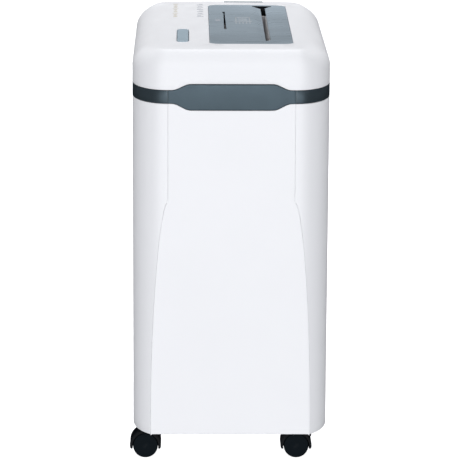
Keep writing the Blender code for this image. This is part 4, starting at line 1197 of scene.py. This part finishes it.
def make_stage():
    n = Nodes("floor_look")
    n.link(n.mix(n.noise(3.0), (0.93, 0.93, 0.93), (0.95, 0.95, 0.95)), n.shader.inputs["Base Color"])
    n.shader.inputs["Roughness"].default_value = 0.9
    n.shader.inputs["Specular IOR Level"].default_value = 0.1
    n.shader.inputs["Emission Color"].default_value = (1.0, 1.0, 1.0, 1.0)
    n.shader.inputs["Emission Strength"].default_value = FLOOR_GLOW
    mesh = bpy.data.meshes.new("floor")
    work = bmesh.new()
    bmesh.ops.create_circle(work, cap_ends=True, segments=96, radius=FLOOR_RADIUS)
    work.to_mesh(mesh)
    work.free()
    floor = new_object("floor", mesh)
    floor.location.z = -FLOOR_DROP
    floor.visible_diffuse = False
    floor.visible_glossy = False
    mesh.materials.append(n.material)


def make_flags():
    """Dark cards out of view on both sides, which draw the white edges against the white ground."""
    n = Nodes("flag_look")
    cloth = n.mix(n.noise(40.0), (0.020, 0.020, 0.022), (0.030, 0.030, 0.032))
    n.link(cloth, n.shader.inputs["Base Color"])
    n.shader.inputs["Roughness"].default_value = 0.9
    for side in (-1, 1):
        card = box(f"flag_{side + 1}", (side * FLAG_X, -0.6, 0.02), (side * (FLAG_X + 0.01), 1.2, 1.5))
        card.data.materials.append(n.material)
        card.visible_camera = False


def area_light(name, location, target, size, energy, glossy=True):
    data = bpy.data.lights.new(name, "AREA")
    data.shape = "RECTANGLE"
    data.size, data.size_y = size
    data.energy = energy
    light = bpy.data.objects.new(name, data)
    light.visible_glossy = glossy
    light.visible_camera = False
    light.location = location
    light.rotation_euler = (Vector(target) - Vector(location)).to_track_quat("-Z", "Y").to_euler()
    bpy.context.scene.collection.objects.link(light)


def make_lights():
    world = bpy.data.worlds.new("studio")
    world.use_nodes = True
    background = world.node_tree.nodes["Background"]
    background.inputs["Color"].default_value = (0.94, 0.96, 1.0, 1.0)
    background.inputs["Strength"].default_value = WORLD_GLOW
    world.cycles_visibility.glossy = False
    bpy.context.scene.world = world
    area_light("front", (-0.1, -3.8, 0.9), (0, 0, 0.3), (1.2, 1.0), 6)
    area_light("low_card", (0, -2.1, 0.03), (0, -0.2, 0.45), (3.4, 1.6), 11)
    area_light("front_left", (-2.7, -2.2, 0.9), (0, 0, 0.3), (1.0, 1.2), 43, glossy=False)
    area_light("front_right", (2.7, -2.2, 0.9), (0, 0, 0.3), (1.0, 1.2), 37, glossy=False)
    area_light("overhead", (0, 1.3, 3.0), (0, 0, 0.4), (3.0, 2.2), 84, glossy=False)


# ---------------------------------------------------------------- build

for look, node_names in NODE_LOOKS:
    for node_name in node_names:
        mesh_data = frame["nodes"][node_name].data
        mesh_data.materials.clear()
        mesh_data.materials.append(look)

make_head()
make_vent()
make_panel()
make_slot_painted_shade()
make_pictogram()
make_symbols()
make_key()
make_bin_front()
make_bin_handle()
make_tub()
make_side("side_right", "side_panel_right", False)
make_side("side_left", "side_panel_left", True)
make_trim()
make_rear()
make_casters()
make_stage()
make_flags()
make_lights()
